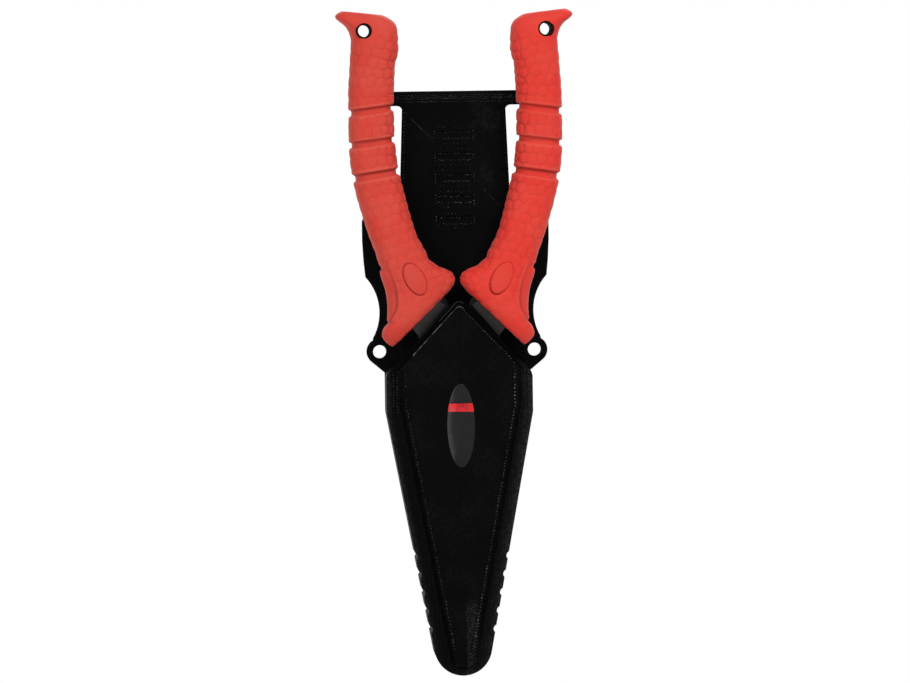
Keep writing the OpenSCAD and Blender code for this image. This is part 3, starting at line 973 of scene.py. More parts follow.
@dataclass
class Grip:
    """An overmoulded grip with scales, ring grooves, a thumb facet, oval inlays and an eyelet."""

    side: Side
    finishes: Finishes
    handle_x: float = 30.4
    handle_h: float = 127.0
    width: float = 16.5
    depth: float = 16.0
    ring_pitch: float = 1.5
    ring_corner: float = 0.95
    ring_corner_segments: int = 9
    ring_squareness: float = 0.587
    cap_insets: tuple[float, ...] = (0.9, 1.3, 1.5)
    level_steps: int = 420
    level_margins: tuple[float, float] = (3.0, 1.2)
    groove_levels: tuple[float, ...] = (91.0, 79.5, 68.0)
    groove_half: float = 1.1
    groove_depth: float = 0.95
    scale_rows: float = 3.5
    scale_width: float = 3.5
    scale_jitter: float = 0.62
    scale_seed: int = 41
    batch: int = 4000
    neighbours: int = 5
    crease_depth: float = 0.17
    crease_half: float = 0.36
    scale_dome: float = 0.2
    most_raised: float = 0.3
    pommel_level: float = 116.5
    facet_middle: tuple[float, float] = (21.6, 22.5)
    facet_span: tuple[float, float] = (12.6, 36.2)
    facet_depth: float = 0.45
    inner_swell_z: float = 41.5
    oval_centre: tuple[float, float] = (15.6, 30.6)
    oval_half: tuple[float, float] = (3.4, 6.1)
    oval_lean: float = 28.0
    oval_depth: float = 0.95
    eyelet: tuple[float, float] = (32.5, 119.5)
    eyelet_bore: float = 2.8

    def table(self) -> tuple[Section, ...]:
        """The cross sections from the pommel down to the guard.

        Returns:
            The sections.
        """
        x, h = self.handle_x, self.handle_h
        rows = (
            (x + 2.3, h - 1.1, -6.5, -1.2, 3.2),
            (x + 1.8, h - 2.4, -6.5, 3.9, 1.6),
            (x + 1.1, h - 4.6, -8.5, 5.9, 0.7),
            (x - 0.6, h - 7.4, -12, 2.9, 0.3),
            (x - 1.4, h - 10.2, -14, 1.4, 0.1),
            (x - 1.8, h - 13.2, -14.5, 0.8, 0),
            (x - 1.0, h - 17.4, -12, -0.3, 0),
            (x - 0.7, h - 22.4, -3.5, -0.5, 0),
            (x - 0.3, h - 28, 3, -0.3, 0),
            (x - 0.2, 93, 7, -0.3, 0),
            (x - 0.2, 84, 7, -0.2, 0),
            (x - 0.5, 76, 7, 0, 0),
            (x - 1.2, 70, 8, 0.1, 0),
            (27.9, 63.2, 11, 0.2, 0),
            (26.1, 56.4, 15, 0, 0),
            (24, 49, 17.5, -0.3, 0),
            (21.7, 42.4, 18.5, -0.5, 0),
            (19.7, 37.2, 17, 0.6, 0.1),
            (18.6, 34.2, 16, 2, 0.2),
            (16.5, 31.6, 16, 4.8, 0.3),
            (14.4, 28.7, 21, 8.2, 0.4),
            (13.5, 25.4, 26.5, 10.6, 0.5),
            (13.6, 22, 32, 13.2, 0.6),
            (14.5, 19.6, 34.5, 15.6, 0.8),
            (14.1, 17.6, 39, 14.7, 1.2),
            (13.5, 16, 44, 12, 2.2),
        )
        return tuple(
            Section(a, z, tilt, (self.width + wider) / 2, self.depth / 2 - thinner)
            for a, z, tilt, wider, thinner in rows
        )

    def columns(self, levels: Points) -> Points:
        """Reads the table at given levels, on smooth curves through its rows.

        Args:
            levels: Heights about the pivot, in millimetres.

        Returns:
            Rows of x, z, tilt, half width and half depth.
        """
        rows = [[s.x, s.z, s.tilt, s.half_width, s.half_depth] for s in self.table()]
        rows = np.array(rows)[::-1]
        z = rows[:, 1]
        before = np.r_[0, 0 : len(z) - 1]
        after = np.r_[1 : len(z), len(z) - 1]
        slopes = (rows[after] - rows[before]) / (z[after] - z[before])[:, None]
        low = np.clip(np.searchsorted(z, levels) - 1, 0, len(z) - 2)
        span = (z[low + 1] - z[low])[:, None]
        t = ((levels - z[low]) / span[:, 0])[:, None]
        return (
            (2 * t**3 - 3 * t**2 + 1) * rows[low]
            + (t**3 - 2 * t**2 + t) * slopes[low] * span
            + (3 * t**2 - 2 * t**3) * rows[low + 1]
            + (t**3 - t**2) * slopes[low + 1] * span
        )

    def stamp(self) -> Piece:
        """Models one flat ring, two units across, that every section is copied from.

        Returns:
            The ring.
        """
        bpy.ops.mesh.primitive_plane_add(size=2)
        ring = bpy.context.active_object
        edit(ring, "VERT")
        select_everything()
        bpy.ops.mesh.bevel(
            offset=self.ring_corner,
            segments=self.ring_corner_segments,
            profile=self.ring_squareness,
            affect="VERTICES",
        )
        select_everything()
        bpy.ops.mesh.delete(type="ONLY_FACE")
        done()
        return ring

    def tube(self) -> Piece:
        """Lofts the plain skin through its sections and closes its ends.

        Returns:
            The skin.
        """
        ring = self.stamp()
        top, foot = self.table()[0].z, self.table()[-1].z
        count = round((top - foot) / self.ring_pitch)
        rings = []
        for x, z, tilt, half_width, half_depth in self.columns(np.linspace(top, foot, count + 1)):
            turn = Matrix.Rotation(math.radians(tilt), 4, "Y")
            size = Matrix.Diagonal((half_width, half_depth, 1.0, 1.0))
            rings.append(copied(ring, Matrix.Translation((x, 0, z)) @ turn @ size))
        bpy.data.objects.remove(ring)
        skin = joined(f"{self.side.word}_grip_skin", rings)
        edit(skin, "EDGE")
        select_everything()
        bpy.ops.mesh.bridge_edge_loops(type="SINGLE")
        bpy.ops.mesh.select_all(action="DESELECT")
        bpy.ops.mesh.select_mode(type="EDGE")
        bpy.ops.mesh.select_non_manifold(extend=False)
        bpy.ops.mesh.fill_holes(sides=0)
        bpy.ops.mesh.select_mode(type="FACE")
        select_faces(skin, lambda face: len(face.vertices) > 4)
        for width in self.cap_insets:
            bpy.ops.mesh.inset(thickness=width, use_individual=True)
        done()
        apply(skin, "SUBSURF", levels=2, render_levels=2)
        outwards(skin)
        return skin

    def levels(self, points: Points) -> Points:
        """Finds which section each point lies on.

        Args:
            points: Points about the pivot, in millimetres, with the handle at +X.

        Returns:
            The level of each point's section.
        """
        top, foot = self.table()[0].z, self.table()[-1].z
        under, over = self.level_margins
        steps = np.linspace(foot - under, top + over, self.level_steps)
        rows = self.columns(np.clip(steps, foot, top))
        rows[:, 1] = steps
        tilt = np.radians(rows[:, 2])
        best = np.full(len(points), np.inf)
        level = np.zeros(len(points))
        for (x, z, *_), lean in zip(rows, tilt):
            dx, dz = points[:, 0] - x, points[:, 2] - z
            off = np.abs(dz * math.cos(lean) + dx * math.sin(lean))
            nearer = off < best
            best[nearer] = off[nearer]
            level[nearer] = z
        return level

    def scale_seeds(self) -> Points:
        """Finds the middles of the scales, laid round the grip in staggered rows.

        Returns:
            The middles, in millimetres, with the handle at +X.
        """
        chance = np.random.default_rng(self.scale_seed + self.side.value)
        top, foot = self.table()[0].z, self.table()[-1].z
        heights = np.linspace(top, foot, round((top - foot) / self.scale_rows) + 1)
        seeds = []
        for row, (x, z, tilt, half_width, half_depth) in enumerate(self.columns(heights)):
            turn = Matrix.Rotation(math.radians(tilt), 3, "Y")
            count = round(math.pi * (half_width + half_depth) / self.scale_width)
            start = row % 2 / 2 + chance.uniform(-0.2, 0.2)
            for place in range(count):
                angle = 2 * math.pi * (place + start + chance.uniform(-0.1, 0.1)) / count
                across, out = math.cos(angle), math.sin(angle)
                reach = 1 / (abs(across) ** 3 + abs(out) ** 3) ** (1 / 3)
                flat = Vector((half_width * across * reach, half_depth * out * reach, 0))
                shift = Vector(chance.uniform(-1, 1, 3)) * self.scale_jitter
                seeds.append(Vector((x, 0, z)) + turn @ flat + shift)
        return np.array([tuple(seed) for seed in seeds])

    def scales(self, points: Points) -> tuple[Points, Points]:
        """Lays irregular scales over the skin.

        Args:
            points: The skin's points, in millimetres.

        Returns:
            How deep each point is in a crease, and how high on its scale's dome, from 0 to 1.
        """
        seeds = self.scale_seeds()
        crease = np.zeros(len(points))
        dome = np.zeros(len(points))
        for start in range(0, len(points), self.batch):
            rows = slice(start, start + self.batch)
            part = points[rows]
            gap = ((part[:, None, :] - seeds[None]) ** 2).sum(2)
            near = np.argpartition(gap, self.neighbours - 1, axis=1)[:, : self.neighbours]
            gaps = np.take_along_axis(gap, near, 1)
            order = np.argsort(gaps, 1)
            near = np.take_along_axis(near, order, 1)
            gaps = np.take_along_axis(gaps, order, 1)
            first = seeds[near[:, 0]]
            border = np.full(len(part), np.inf)
            for other in range(1, self.neighbours):
                apart = np.sqrt(((seeds[near[:, other]] - first) ** 2).sum(1))
                border = np.minimum(border, (gaps[:, other] - gaps[:, 0]) / (2 * apart))
            crease[rows] = 1 - eased(border, 0.04, self.crease_half)
            dome[rows] = np.clip(1 - gaps[:, 0] / (self.scale_width * 0.55) ** 2, 0, 1)
        return crease, dome

    def sculpt(self, skin: Piece) -> None:
        """Presses the grip's relief into its skin, and keeps its painted shade, painted shadow and
        painted highlights.

        Args:
            skin: The smooth skin, in millimetres, with the handle at +X.
        """
        mesh = skin.data
        points, normals = np.empty((2, len(mesh.vertices) * 3))
        mesh.vertices.foreach_get("co", points)
        mesh.vertices.foreach_get("normal", normals)
        points, normals = points.reshape(-1, 3), normals.reshape(-1, 3)
        x, z = points[:, 0], points[:, 2]
        level = self.levels(points)
        facing = eased(np.abs(normals[:, 1]), 0.25, 0.5)
        outer = eased(normals[:, 0], 0.3, 0.7)
        inner = eased(-normals[:, 0], 0.15, 0.55)

        # The ring grooves, with a painted shadow in the upper corner and a low lip on both sides that
        # carries a painted highlight.
        above = np.array([level - groove for groove in self.groove_levels])
        above = np.take_along_axis(above, np.abs(above).argmin(0)[None], 0)[0]
        off = np.abs(above)
        groove = 1 - eased(off, self.groove_half - 0.35, self.groove_half + 0.3)
        corner = bell(above, self.groove_half - 0.05, 0.36)
        lip = bell(off, self.groove_half + 0.75, 0.4)

        # The oval seat and the painted shadow in the gutter round its inlay, both weaker towards the
        # upper right, where the light comes from.
        width, height = self.oval_half
        dx, dz = x - self.oval_centre[0], z - self.oval_centre[1]
        lean = math.radians(self.oval_lean)
        oval = np.hypot(
            (dx * math.cos(lean) - dz * math.sin(lean)) / width,
            (dx * math.sin(lean) + dz * math.cos(lean)) / height,
        )
        lit = np.clip(0.55 * dx * self.side.value / width + 0.5 * dz / height, -1, 1)
        seat = (1 - eased(oval, 1.01, 1.12 - 0.05 * lit)) * facing
        shallow = eased(oval, 0.93, 0.99) * np.clip(0.4 + 0.7 * lit, 0.0, 0.8)
        gutter = seat * eased(oval, 0.96, 1.02) * (0.55 - 0.45 * lit)

        # The plain facet on the guard's outer side, beyond a curved border, with a painted highlight
        # on the border's rim, a painted shadow just inside it and painted shade over the facet.
        foot, top = self.facet_span
        below = z - self.facet_middle[1]
        border = self.facet_middle[0] + np.where(below < 0, 0.055, 0.02) * below**2
        span = eased(z, foot, foot + 2) * (1 - eased(z, top - 1.6, top))
        facet = eased(x - border, -0.2, 0.7) * span
        rim = bell(x - border, 0.0, 0.5) * span * facing
        cut = bell(x - border, 0.55, 0.45) * span * facing

        # The scales, which end at the pommel, the eyelet, the grooves, the oval and the facet, and
        # are fainter near the guard.
        ring = np.hypot(x - self.eyelet[0], z - self.eyelet[1])
        plain = np.max(
            [
                eased(z, self.pommel_level, self.pommel_level + 3),
                1 - eased(ring, 4.4, 6.5),
                1 - eased(off, self.groove_half + 0.5, self.groove_half + 1.2),
                (1 - eased(oval, 1.15, 1.4)) * facing,
                facet,
                0.4 * (1 - eased(level, 18, 30)),
            ],
            axis=0,
        )
        crease, dome = self.scales(points)
        crease = crease * (1 - plain)
        press = (
            self.crease_depth * crease * (0.75 + 0.4 * inner)
            - self.scale_dome * dome * (1 - plain) * (0.7 + 0.5 * inner)
            + self.groove_depth * groove
            - 0.1 * lip
            + self.oval_depth * seat * (1 - shallow)
            + self.facet_depth * facet
            - 0.12 * rim
        )

        # The swell of the outer lobe with a notch under it, and of the inner side above the guard.
        pad = eased(z, 15.3, 15.9) * (1 - eased(z, 33.2, 33.9))
        pad = pad * (0.15 + 0.55 * eased(z, 25.0, 33.0)) - 0.5 * bell(z, 15.0, 0.6)
        swell = outer * pad + 0.4 * inner * bell(z, self.inner_swell_z, 2.6)
        points = points - normals * np.maximum(press, -self.most_raised)[:, None]
        points[:, 0] += swell * np.sign(normals[:, 0])
        mesh.vertices.foreach_set("co", points.reshape(-1))

        # Painted light kept on the skin: deep is painted shadow in the grooves' upper corners, the
        # oval's gutter and inside the facet's border, most on the lobe's lower part; crease is
        # painted shade in the scale creases, stronger on the inner side, in the grooves and on the
        # facet; the painted highlight is on the groove lips, the facet's rim and the skin's sides.
        lobe = 1 - eased(points[:, 2], 24.0, 33.0)
        deep = corner * (0.75 + 0.25 * facing) + gutter + 0.75 * cut * (0.25 + 0.75 * lobe)
        shade = crease * (0.68 + 1.0 * inner) + 0.4 * groove + 0.25 * facet
        rub = 1.2 * lip * (1 - crease) + 0.8 * rim + (1 - facing) * 0.35
        for name, values in (("crease", shade), ("deep", deep), ("rub", rub)):
            kept = mesh.attributes.new(name, "FLOAT", "POINT")
            kept.data.foreach_set("value", np.clip(values, 0, 1).astype(np.float32))
        mesh.update()

    def bored(self, skin: Piece) -> None:
        """Bores the lanyard hole through the skin.

        Args:
            skin: The skin, in millimetres.
        """
        bpy.ops.mesh.primitive_cylinder_add(
            vertices=48,
            radius=self.eyelet_bore,
            depth=self.depth * 1.5,
            location=(self.eyelet[0], 0, self.eyelet[1]),
            rotation=(math.pi / 2, 0, 0),
        )
        drill = seated(bpy.context.active_object)
        apply(skin, "BOOLEAN", operation="DIFFERENCE", solver="EXACT", object=drill)
        bpy.data.objects.remove(drill)

    def build(self) -> None:
        """Builds the grip's skin, inlays and eyelet, and dresses them."""
        skin = self.tube()
        self.sculpt(skin)
        self.bored(skin)
        skin.data.transform(self.side.place)
        outwards(skin)
        smooth(skin, 60)
        word, body = self.side.word, self.side.body
        show(skin, body, "grip_rubber", self.finishes.rubber[self.side], f"{word}_grip")
        for node, width, slot, material in (
            ("oval_inlays", 0.55, "inlay_rubber", self.finishes.inlay[self.side]),
            ("eyelet", 0.28, "dark_ring", self.finishes.ring),
        ):
            SoftEdges(f"{word}_{node}", width).build(body, slot, material)


# -------- Levers, cutters and pivot --------


@dataclass
class Lever:
    """A coated steel lever with its line cutter."""

    side: Side
    finishes: Finishes
    edge: float = 0.3
    cutter_edge: float = 0.12
    strip: tuple[tuple[float, float], ...] = ((16.6, 12.6), (14.2, 9.6), (4.7, 20.9), (8.2, 23.6))
    strip_y: float = -5.0
    strip_t: float = 0.5
    strip_bevel: float = 0.18

    def build(self) -> None:
        """Builds the lever, the cutter and its screws, and dresses them."""
        for node, width, slot, material in (
            ("lever", self.edge, "coated_steel", self.finishes.coated),
            ("cutter", self.cutter_edge, "bright_steel", self.finishes.turned),
            ("cutter_screws", self.cutter_edge, "bright_steel", self.finishes.turned),
        ):
            SoftEdges(f"{self.side.word}_{node}", width, 2).build(self.side.body, slot, material)
        self.bolster()

    def bolster(self) -> None:
        """Builds the paler steel strip that shows between the grip and the sheath's mouth."""
        strip = sheet(60, self.strip_y, 15)
        for (ax, az), (bx, bz) in zip(self.strip, self.strip[1:] + self.strip[:1]):
            trimmed((ax, 0, az), Vector((az - bz, 0, bx - ax)).normalized())
        pulled(-self.strip_t)
        plated(strip, f"{self.side.word}_bolster", self.strip_bevel, 2, self.side.place)
        show(strip, self.side.body, "coated_steel", self.finishes.ground)


@dataclass
class Pivot:
    """The pivot's bolt, nut and washers."""

    finishes: Finishes
    body: str = "pivot"

    def build(self) -> None:
        """Rounds the bolt and nut, and dresses the washers."""
        for node, width in (("pivot_bolt", 0.3), ("pivot_nut", 0.25)):
            SoftEdges(node, width).build(self.body, "bright_steel", self.finishes.turned)
        for node in ("front_washer", "middle_washer", "back_washer"):
            dressed(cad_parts[node], self.finishes.turned)


# -------- Sheath --------


@dataclass
class StippleRow:
    """A row of small raised grains that catch the light along an edge.

    Its start and end are X and Z about the pivot, at a depth of y.
    """

    y: float
    start: tuple[float, float]
    end: tuple[float, float]
    pitch: float = 1.15
    radius: float = 0.28
    stray: float = 0.12
    missing: float = 0.04

    def places(self, chance: np.random.Generator) -> list[tuple[Vector, float, float]]:
        """Lays the grains along the row, a little unevenly.

        Args:
            chance: The source of the unevenness.

        Returns:
            Each grain's place about the pivot, the row's slope there, and the grain's radius.
        """
        first, last = (Vector((x, self.y, z)) for x, z in (self.start, self.end))
        count = max(2, round((last - first).length / self.pitch))
        slope = math.atan2(last.z - first.z, last.x - first.x)
        laid = []
        for i in range(count):
            across, up, size, luck = chance.uniform(-1, 1, 4)
            shift = Vector((across, 0, up)) * self.stray * self.pitch
            if luck > 2 * self.missing - 1:
                radius = self.radius * (1 + 1.6 * self.stray * size)
                laid.append((first.lerp(last, i / (count - 1)) + shift, slope, radius))
        return laid


@dataclass
class Stipple:
    """Rows of grains on the sheath."""

    name: str
    rows: tuple[StippleRow, ...]
    material: Material
    sunk: float = 0.35
    shape: tuple[float, float, float] = (1.2, 0.85, 0.8)
    seed: int = 7

    def grain(self) -> Piece:
        """Models one grain: a low dome, longer than it is wide.

        Returns:
            The grain.
        """
        bpy.ops.mesh.primitive_uv_sphere_add(segments=8, ring_count=6, radius=1.0)
        grain = bpy.context.active_object
        edit(grain)
        trimmed((0, 0, -0.5), (0, 0, -1), fill=True)
        select_everything()
        bpy.ops.transform.resize(value=self.shape)
        done()
        return grain

    def build(self) -> None:
        """Copies the grain along every row and joins the copies."""
        grain = self.grain()
        chance = np.random.default_rng(self.seed)
        upright = Matrix.Rotation(math.pi / 2, 4, "X")
        grains = []
        for row in self.rows:
            for place, slope, radius in row.places(chance):
                seat = Matrix.Translation(place + Vector((0, self.sunk * radius, 0)))
                lean = Matrix.Rotation(-slope, 4, "Y")
                size = Matrix.Scale(radius, 4)
                grains.append(copied(grain, DESIGN @ seat @ lean @ upright @ size))
        bpy.data.objects.remove(grain)
        piece = joined(self.name, grains)
        smooth(piece, 60)
        show(piece, "sheath", "sheath_plastic", self.material)


@dataclass
class FrontPanel:
    """The raised kite-shaped panel on the pocket's front, with a lip and a channel round it."""

    finishes: Finishes
    front_y: float = -10.28
    thickness: float = 1.5
    overhang: float = 0.5
    apex: tuple[float, float] = (1.2, 20.2)
    shoulder: tuple[float, float] = (18.8, 1.4)
    side_x: float = 19.9
    bend_z: float = -13.8
    toe: tuple[float, float] = (2.94, -105.8)
    toe_z: float = -108.2
    lip: float = 1.25
    lip_step: float = 0.16
    toe_round: float = 1.9
    ridge: tuple[float, float] = (0.24, 0.14)
    ridge_foot: float = 3.4
    channel_start: float = 0.6
    channel_width: float = 1.3
    channel_floor_y: float = -8.1
    channel_cut: float = 6.0

    def edges(self, sides: float, tops: float) -> list[tuple[Vector, Vector]]:
        """Finds the kite's edges.

        Args:
            sides: How far the side edges and the toe are moved out.
            tops: How far the two sloping edges at the top are moved out.

        Returns:
            A point on each edge, with the edge's outward direction.
        """
        (ax, az), (sx, sz), (tx, tz) = self.apex, self.shoulder, self.toe
        found = [(Vector((0, 0, self.toe_z)), Vector((0, 0, -1)), sides)]
        for side in (-1, 1):
            top = Vector((side * (az - sz), 0, sx - ax))
            taper = Vector((side * (self.bend_z - tz), 0, tx - self.side_x))
            found.append((Vector((side * sx, 0, sz)), top, tops))
            found.append((Vector((side * self.side_x, 0, 0)), Vector((side, 0, 0)), sides))
            found.append((Vector((side * self.side_x, 0, self.bend_z)), taper, sides))
        return [(point + way.normalized() * out, way) for point, way, out in found]

    def kite(self, sides: float, tops: float, y: float) -> Piece:
        """Cuts a flat sheet to the panel's outline.

        Args:
            sides: How far the outline's sides and toe are moved out.
            tops: How far its two top edges are moved out.
            y: The sheet's depth.

        Returns:
            The sheet, in millimetres about the pivot, which faces the front.
        """
        kite = sheet(260, y, -40)
        for point, way in self.edges(sides, tops):
            trimmed(point, way.normalized())
        bpy.ops.mesh.select_mode(type="VERT")
        select_everything()
        bpy.ops.mesh.remove_doubles(threshold=0.01)
        bpy.ops.mesh.select_all(action="DESELECT")
        done()
        for vertex in kite.data.vertices:
            vertex.select = abs(vertex.co.x) < 6
        bpy.ops.object.mode_set(mode="EDIT")
        bpy.ops.mesh.bevel(offset=self.toe_round, segments=5, affect="VERTICES")
        done()
        return kite

    def build(self) -> None:
        """Builds the panel: a bevelled plate with a lip round its raised field."""
        panel = self.kite(self.overhang, 0.0, self.front_y + self.thickness)
        edit(panel)
        pulled(-self.thickness)
        for width, depth in ((0.28, 0.0), (self.lip, 0.0), (0.22, self.lip_step)):
            bpy.ops.mesh.inset(thickness=width, depth=depth)
        plated(panel, "front_panel", 0.2, 3)
        show(panel, "sheath", "sheath_plastic", self.finishes.plastic)
        self.lips()

    def lips(self) -> None:
        """Builds the thin ridges on the left along the panel's edge and, fainter, the mouth's, pale
        with a painted highlight.
        """
        width, height = self.ridge
        for name, out, y, reach, material in (
            ("panel_lip", 0.08, self.front_y, 30.0, self.finishes.rubbed),
            ("mouth_lip", 1.31, -9.15, 7.2, self.finishes.faint),
        ):
            ridge = self.kite(self.overhang, out, y)
            edit(ridge)
            rimmed(width)
            trimmed((0, 0, self.ridge_foot), (0, 0, -1))
            trimmed((1.5, 0, 0), (1, 0, 0))
            trimmed((-reach, 0, 0), (-1, 0, 0))
            pulled(-height)
            plated(ridge, name, 0.05, 2)
            show(ridge, "sheath", "sheath_plastic", material)

    def cut_channel(self, shell: Piece) -> None:
        """Cuts the channel that runs round the panel into the shell.

        Args:
            shell: The front shell, in the frame.
        """
        sides = self.channel_start + self.channel_width
        cutter = self.kite(sides, 8.0, self.channel_floor_y)
        edit(cutter)
        rimmed(self.channel_width)
        pulled(-self.channel_cut)
        done()
        outwards(cutter)
        cutter.data.transform(DESIGN)
        apply(shell, "BOOLEAN", operation="DIFFERENCE", solver="EXACT", object=cutter)
        bpy.data.objects.remove(cutter)


@dataclass
class Sheath:
    """The moulded sheath: its shells, belt loop, badge and raised grain."""

    finishes: Finishes
    body: str = "sheath"
    front_y: float = -10.2
    grain_lift: float = 0.2
    bar_face_y: float = 8.6
    neck_bar_rise: float = 0.6
    neck_bar_top: float = 80.0
    neck_bar_pitch: float = 7.7

    def shells(self) -> None:
        """Builds the two shells and the belt loop."""
        for node, width, cut in (
            ("sheath_front", 0.45, FrontPanel(self.finishes).cut_channel),
            ("sheath_back", 0.5, None),
            ("belt_loop", 0.8, None),
        ):
            plastic = self.finishes.plastic
            SoftEdges(node, width).build(self.body, "sheath_plastic", plastic, cut)

    def trim(self) -> None:
        """Builds the loop's screws and the badge with its band."""
        for node, width, slot, material in (
            ("belt_loop_screws", 0.2, "bright_steel", self.finishes.turned),
            ("badge", 0.3, "badge_gloss", self.finishes.badge),
            ("badge_band", 0.12, "badge_red", self.finishes.band),
        ):
            SoftEdges(node, width).build(self.body, slot, material)

    def grain(self) -> None:
        """Builds the rows of grains on the panel, the pocket's sides, the bar and the neck."""
        field, face = self.front_y - self.grain_lift, self.bar_face_y
        panel = [
            StippleRow(field, (1.7, 19.2), (18.2, 1.9), 1.05, 0.22),
            StippleRow(field, (19.45, 0.2), (19.45, -14.0), 1.15, 0.28),
            StippleRow(field, (19.4, -15.2), (3.3, -102.3), 1.15, 0.26),
        ]
        sides = [
            StippleRow(field, (-19.45, 0.2), (-19.45, -14.0), 1.15, 0.24, 0.2, 0.3),
            StippleRow(field, (-19.4, -15.2), (-3.3, -102.3), 1.15, 0.26, 0.2, 0.12),
            StippleRow(field, (13.2, 5.2), (1.0, -7.6), 0.8, 0.13),
            StippleRow(field, (17.5, -13.6), (11.5, -19.6), 0.8, 0.13),
        ]
        for x, y, radius in (
            (-22.5, -8.25, 0.22),
            (-23.9, -7.3, 0.2),
            (23.2, -7.75, 0.2),
            (24.6, -6.85, 0.2),
        ):
            sides.append(StippleRow(y, (x, -2.5), (x, -17.0), 0.95, radius, 0.15, 0.1))
        bar = [
            StippleRow(face, (-20.6, z), (21.4, z), 0.62, 0.19, 0.22, 0.06)
            for z in (93.9, 94.9, 95.5, 96.2)
        ]
        neck = []
        for i in range(5):
            foot = self.neck_bar_top - self.neck_bar_pitch * i
            top = face + self.neck_bar_rise
            for z in (foot + 0.55, foot + 2.85):
                neck.append(StippleRow(top, (-5.8, z), (5.8, z), 0.85, 0.21, 0.25, 0.12))
            for z in (foot - 1.1, foot + 4.5):
                neck.append(StippleRow(face, (-5.2, z), (5.2, z), 1.1, 0.14, 0.25, 0.2))
            for x in (-6.9, 6.9):
                ends = (x, foot + 0.2), (x, foot + 3.2)
                neck.append(StippleRow(face, *ends, 0.8, 0.19, 0.2, 0.1))
        neck += [
            StippleRow(face, (-17.9, 90.2), (-18.6, 64.0), 1.15, 0.2),
            StippleRow(face, (17.9, 90.2), (18.4, 72.0), 1.3, 0.14),
            StippleRow(face, (-17.2, 89.6), (-7.2, 79.6), 0.62, 0.13),
            StippleRow(face, (10.6, 62.0), (16.2, 56.0), 0.7, 0.14),
        ]
        # The grains are paler than the plastic round them: painted glints.
        for name, rows, material in (
            ("panel_grain", panel, self.finishes.grained),
            ("side_grain", sides, self.finishes.faint),
            ("bar_grain", bar, self.finishes.faint),
            ("neck_grain", neck, self.finishes.grained),
        ):
            Stipple(name, tuple(rows), material).build()

    def build(self) -> None:
        """Builds the whole sheath."""
        self.shells()
        FrontPanel(self.finishes).build()
        self.trim()
        self.grain()


# -------- Studio --------


@dataclass(frozen=True)
class Lamp:
    """A soft square lamp that points at the object."""

    name: str
    place: tuple[float, float, float]
    power: float
    size: float

    def add(self, target: Vector) -> None:
        """Adds the lamp, aimed at target.

        Args:
            target: What it points at.
        """
        light = bpy.data.lights.new(self.name, "AREA")
        light.energy = self.power
        light.shape = "SQUARE"
        light.size = self.size
        lamp = bpy.data.objects.new(self.name, light)
        bpy.context.scene.collection.objects.link(lamp)
        lamp.location = self.place
        lamp.rotation_euler = (target - lamp.location).to_track_quat("-Z", "Y").to_euler()


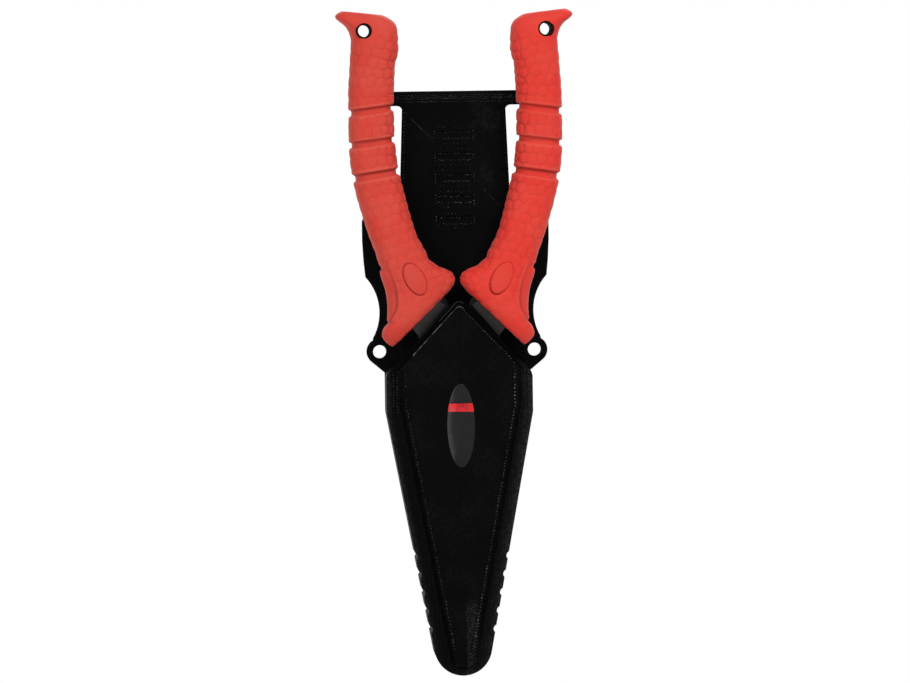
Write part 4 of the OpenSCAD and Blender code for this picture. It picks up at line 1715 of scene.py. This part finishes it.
@dataclass
class Studio:
    """The floor, the pale surroundings, the lamps and the camera."""

    finishes: Finishes
    lens: float = 200.0
    view_width: float = 0.3272
    centre: tuple[float, float] = (-0.0012, -0.0493)
    roll: float = 0.8
    swing: float = -3.1
    lift: float = 2.8
    ambient: float = 0.4
    floor_drop: float = 0.03

    def floor(self) -> None:
        """Adds a plain pale floor below the toe."""
        low = Vector(SOLID_BOUNDS[0])
        bpy.ops.mesh.primitive_plane_add(size=1.0, location=(0, 0, low.z - self.floor_drop))
        floor = seated(bpy.context.active_object)
        edit(floor)
        select_everything()
        bpy.ops.transform.resize(value=(1.2, 0.72, 1), center_override=(0, -0.75, 0))
        done()
        floor.name = "studio_floor"
        dressed(floor, self.finishes.paper)

    def world(self) -> None:
        """Lights the object evenly, and is white where the camera or a reflection sees it."""
        world = bpy.data.worlds.new("studio_world")
        bpy.context.scene.world = world
        world.use_nodes = True
        nodes, links = world.node_tree.nodes, world.node_tree.links
        nodes.clear()
        path = nodes.new("ShaderNodeLightPath")
        seen = path.outputs["Is Camera Ray"]
        for ray in ("Is Glossy Ray", "Is Transmission Ray"):
            either = nodes.new("ShaderNodeMath")
            either.operation = "MAXIMUM"
            links.new(seen, either.inputs[0])
            links.new(path.outputs[ray], either.inputs[1])
            seen = either.outputs[0]
        mix = nodes.new("ShaderNodeMixShader")
        links.new(seen, mix.inputs[0])
        for socket, strength in ((1, self.ambient), (2, 1.0)):
            plain = nodes.new("ShaderNodeBackground")
            plain.inputs["Color"].default_value = (1, 1, 1, 1)
            plain.inputs["Strength"].default_value = strength
            links.new(plain.outputs[0], mix.inputs[socket])
        links.new(mix.outputs[0], nodes.new("ShaderNodeOutputWorld").inputs["Surface"])

    def camera(self) -> None:
        """Adds the camera, a little above the object and far enough to flatten depth."""
        data = bpy.data.cameras.new("studio_camera")
        data.lens = self.lens
        data.sensor_width = 36.0
        camera = bpy.data.objects.new("studio_camera", data)
        bpy.context.scene.collection.objects.link(camera)
        distance = self.view_width * self.lens / data.sensor_width
        swing, lift = math.radians(self.swing), math.radians(self.lift)
        level = math.cos(lift)
        back = Vector((math.sin(swing) * level, -math.cos(swing) * level, math.sin(lift)))
        camera.location = Vector((self.centre[0], PIVOT.y * MM, self.centre[1])) + back * distance
        turn = (-back).to_track_quat("-Z", "Y").to_matrix()
        roll = Matrix.Rotation(math.radians(-self.roll), 3, "Z")
        camera.rotation_euler = (turn @ roll).to_euler()
        data.clip_end = 20.0
        bpy.context.scene.camera = camera

    def build(self) -> None:
        """Builds the studio."""
        scene = bpy.context.scene
        scene.view_settings.view_transform = "Standard"
        target = Vector((0, 0, self.centre[1]))
        for lamp in (
            Lamp("key_lamp", (0.8, -1.55, 1.85), 32.5, 0.9),
            Lamp("fill_lamp", (-0.55, -1.1, -0.02), 4.2, 0.8),
            Lamp("back_lamp", (0.3, 1.1, 0.8), 6.0, 0.8),
        ):
            lamp.add(target)
        self.floor()
        self.world()
        self.camera()


def main() -> None:
    """Builds the pliers, the sheath and the studio."""
    logging.basicConfig(level=logging.INFO, format="%(name)s: %(message)s")
    finishes = Finishes.make()
    Sheath(finishes).build()
    Pivot(finishes).build()
    for side in Side:
        Lever(side, finishes).build()
        Grip(side, finishes).build()
    Studio(finishes).build()


if __name__ == "__main__":
    main()
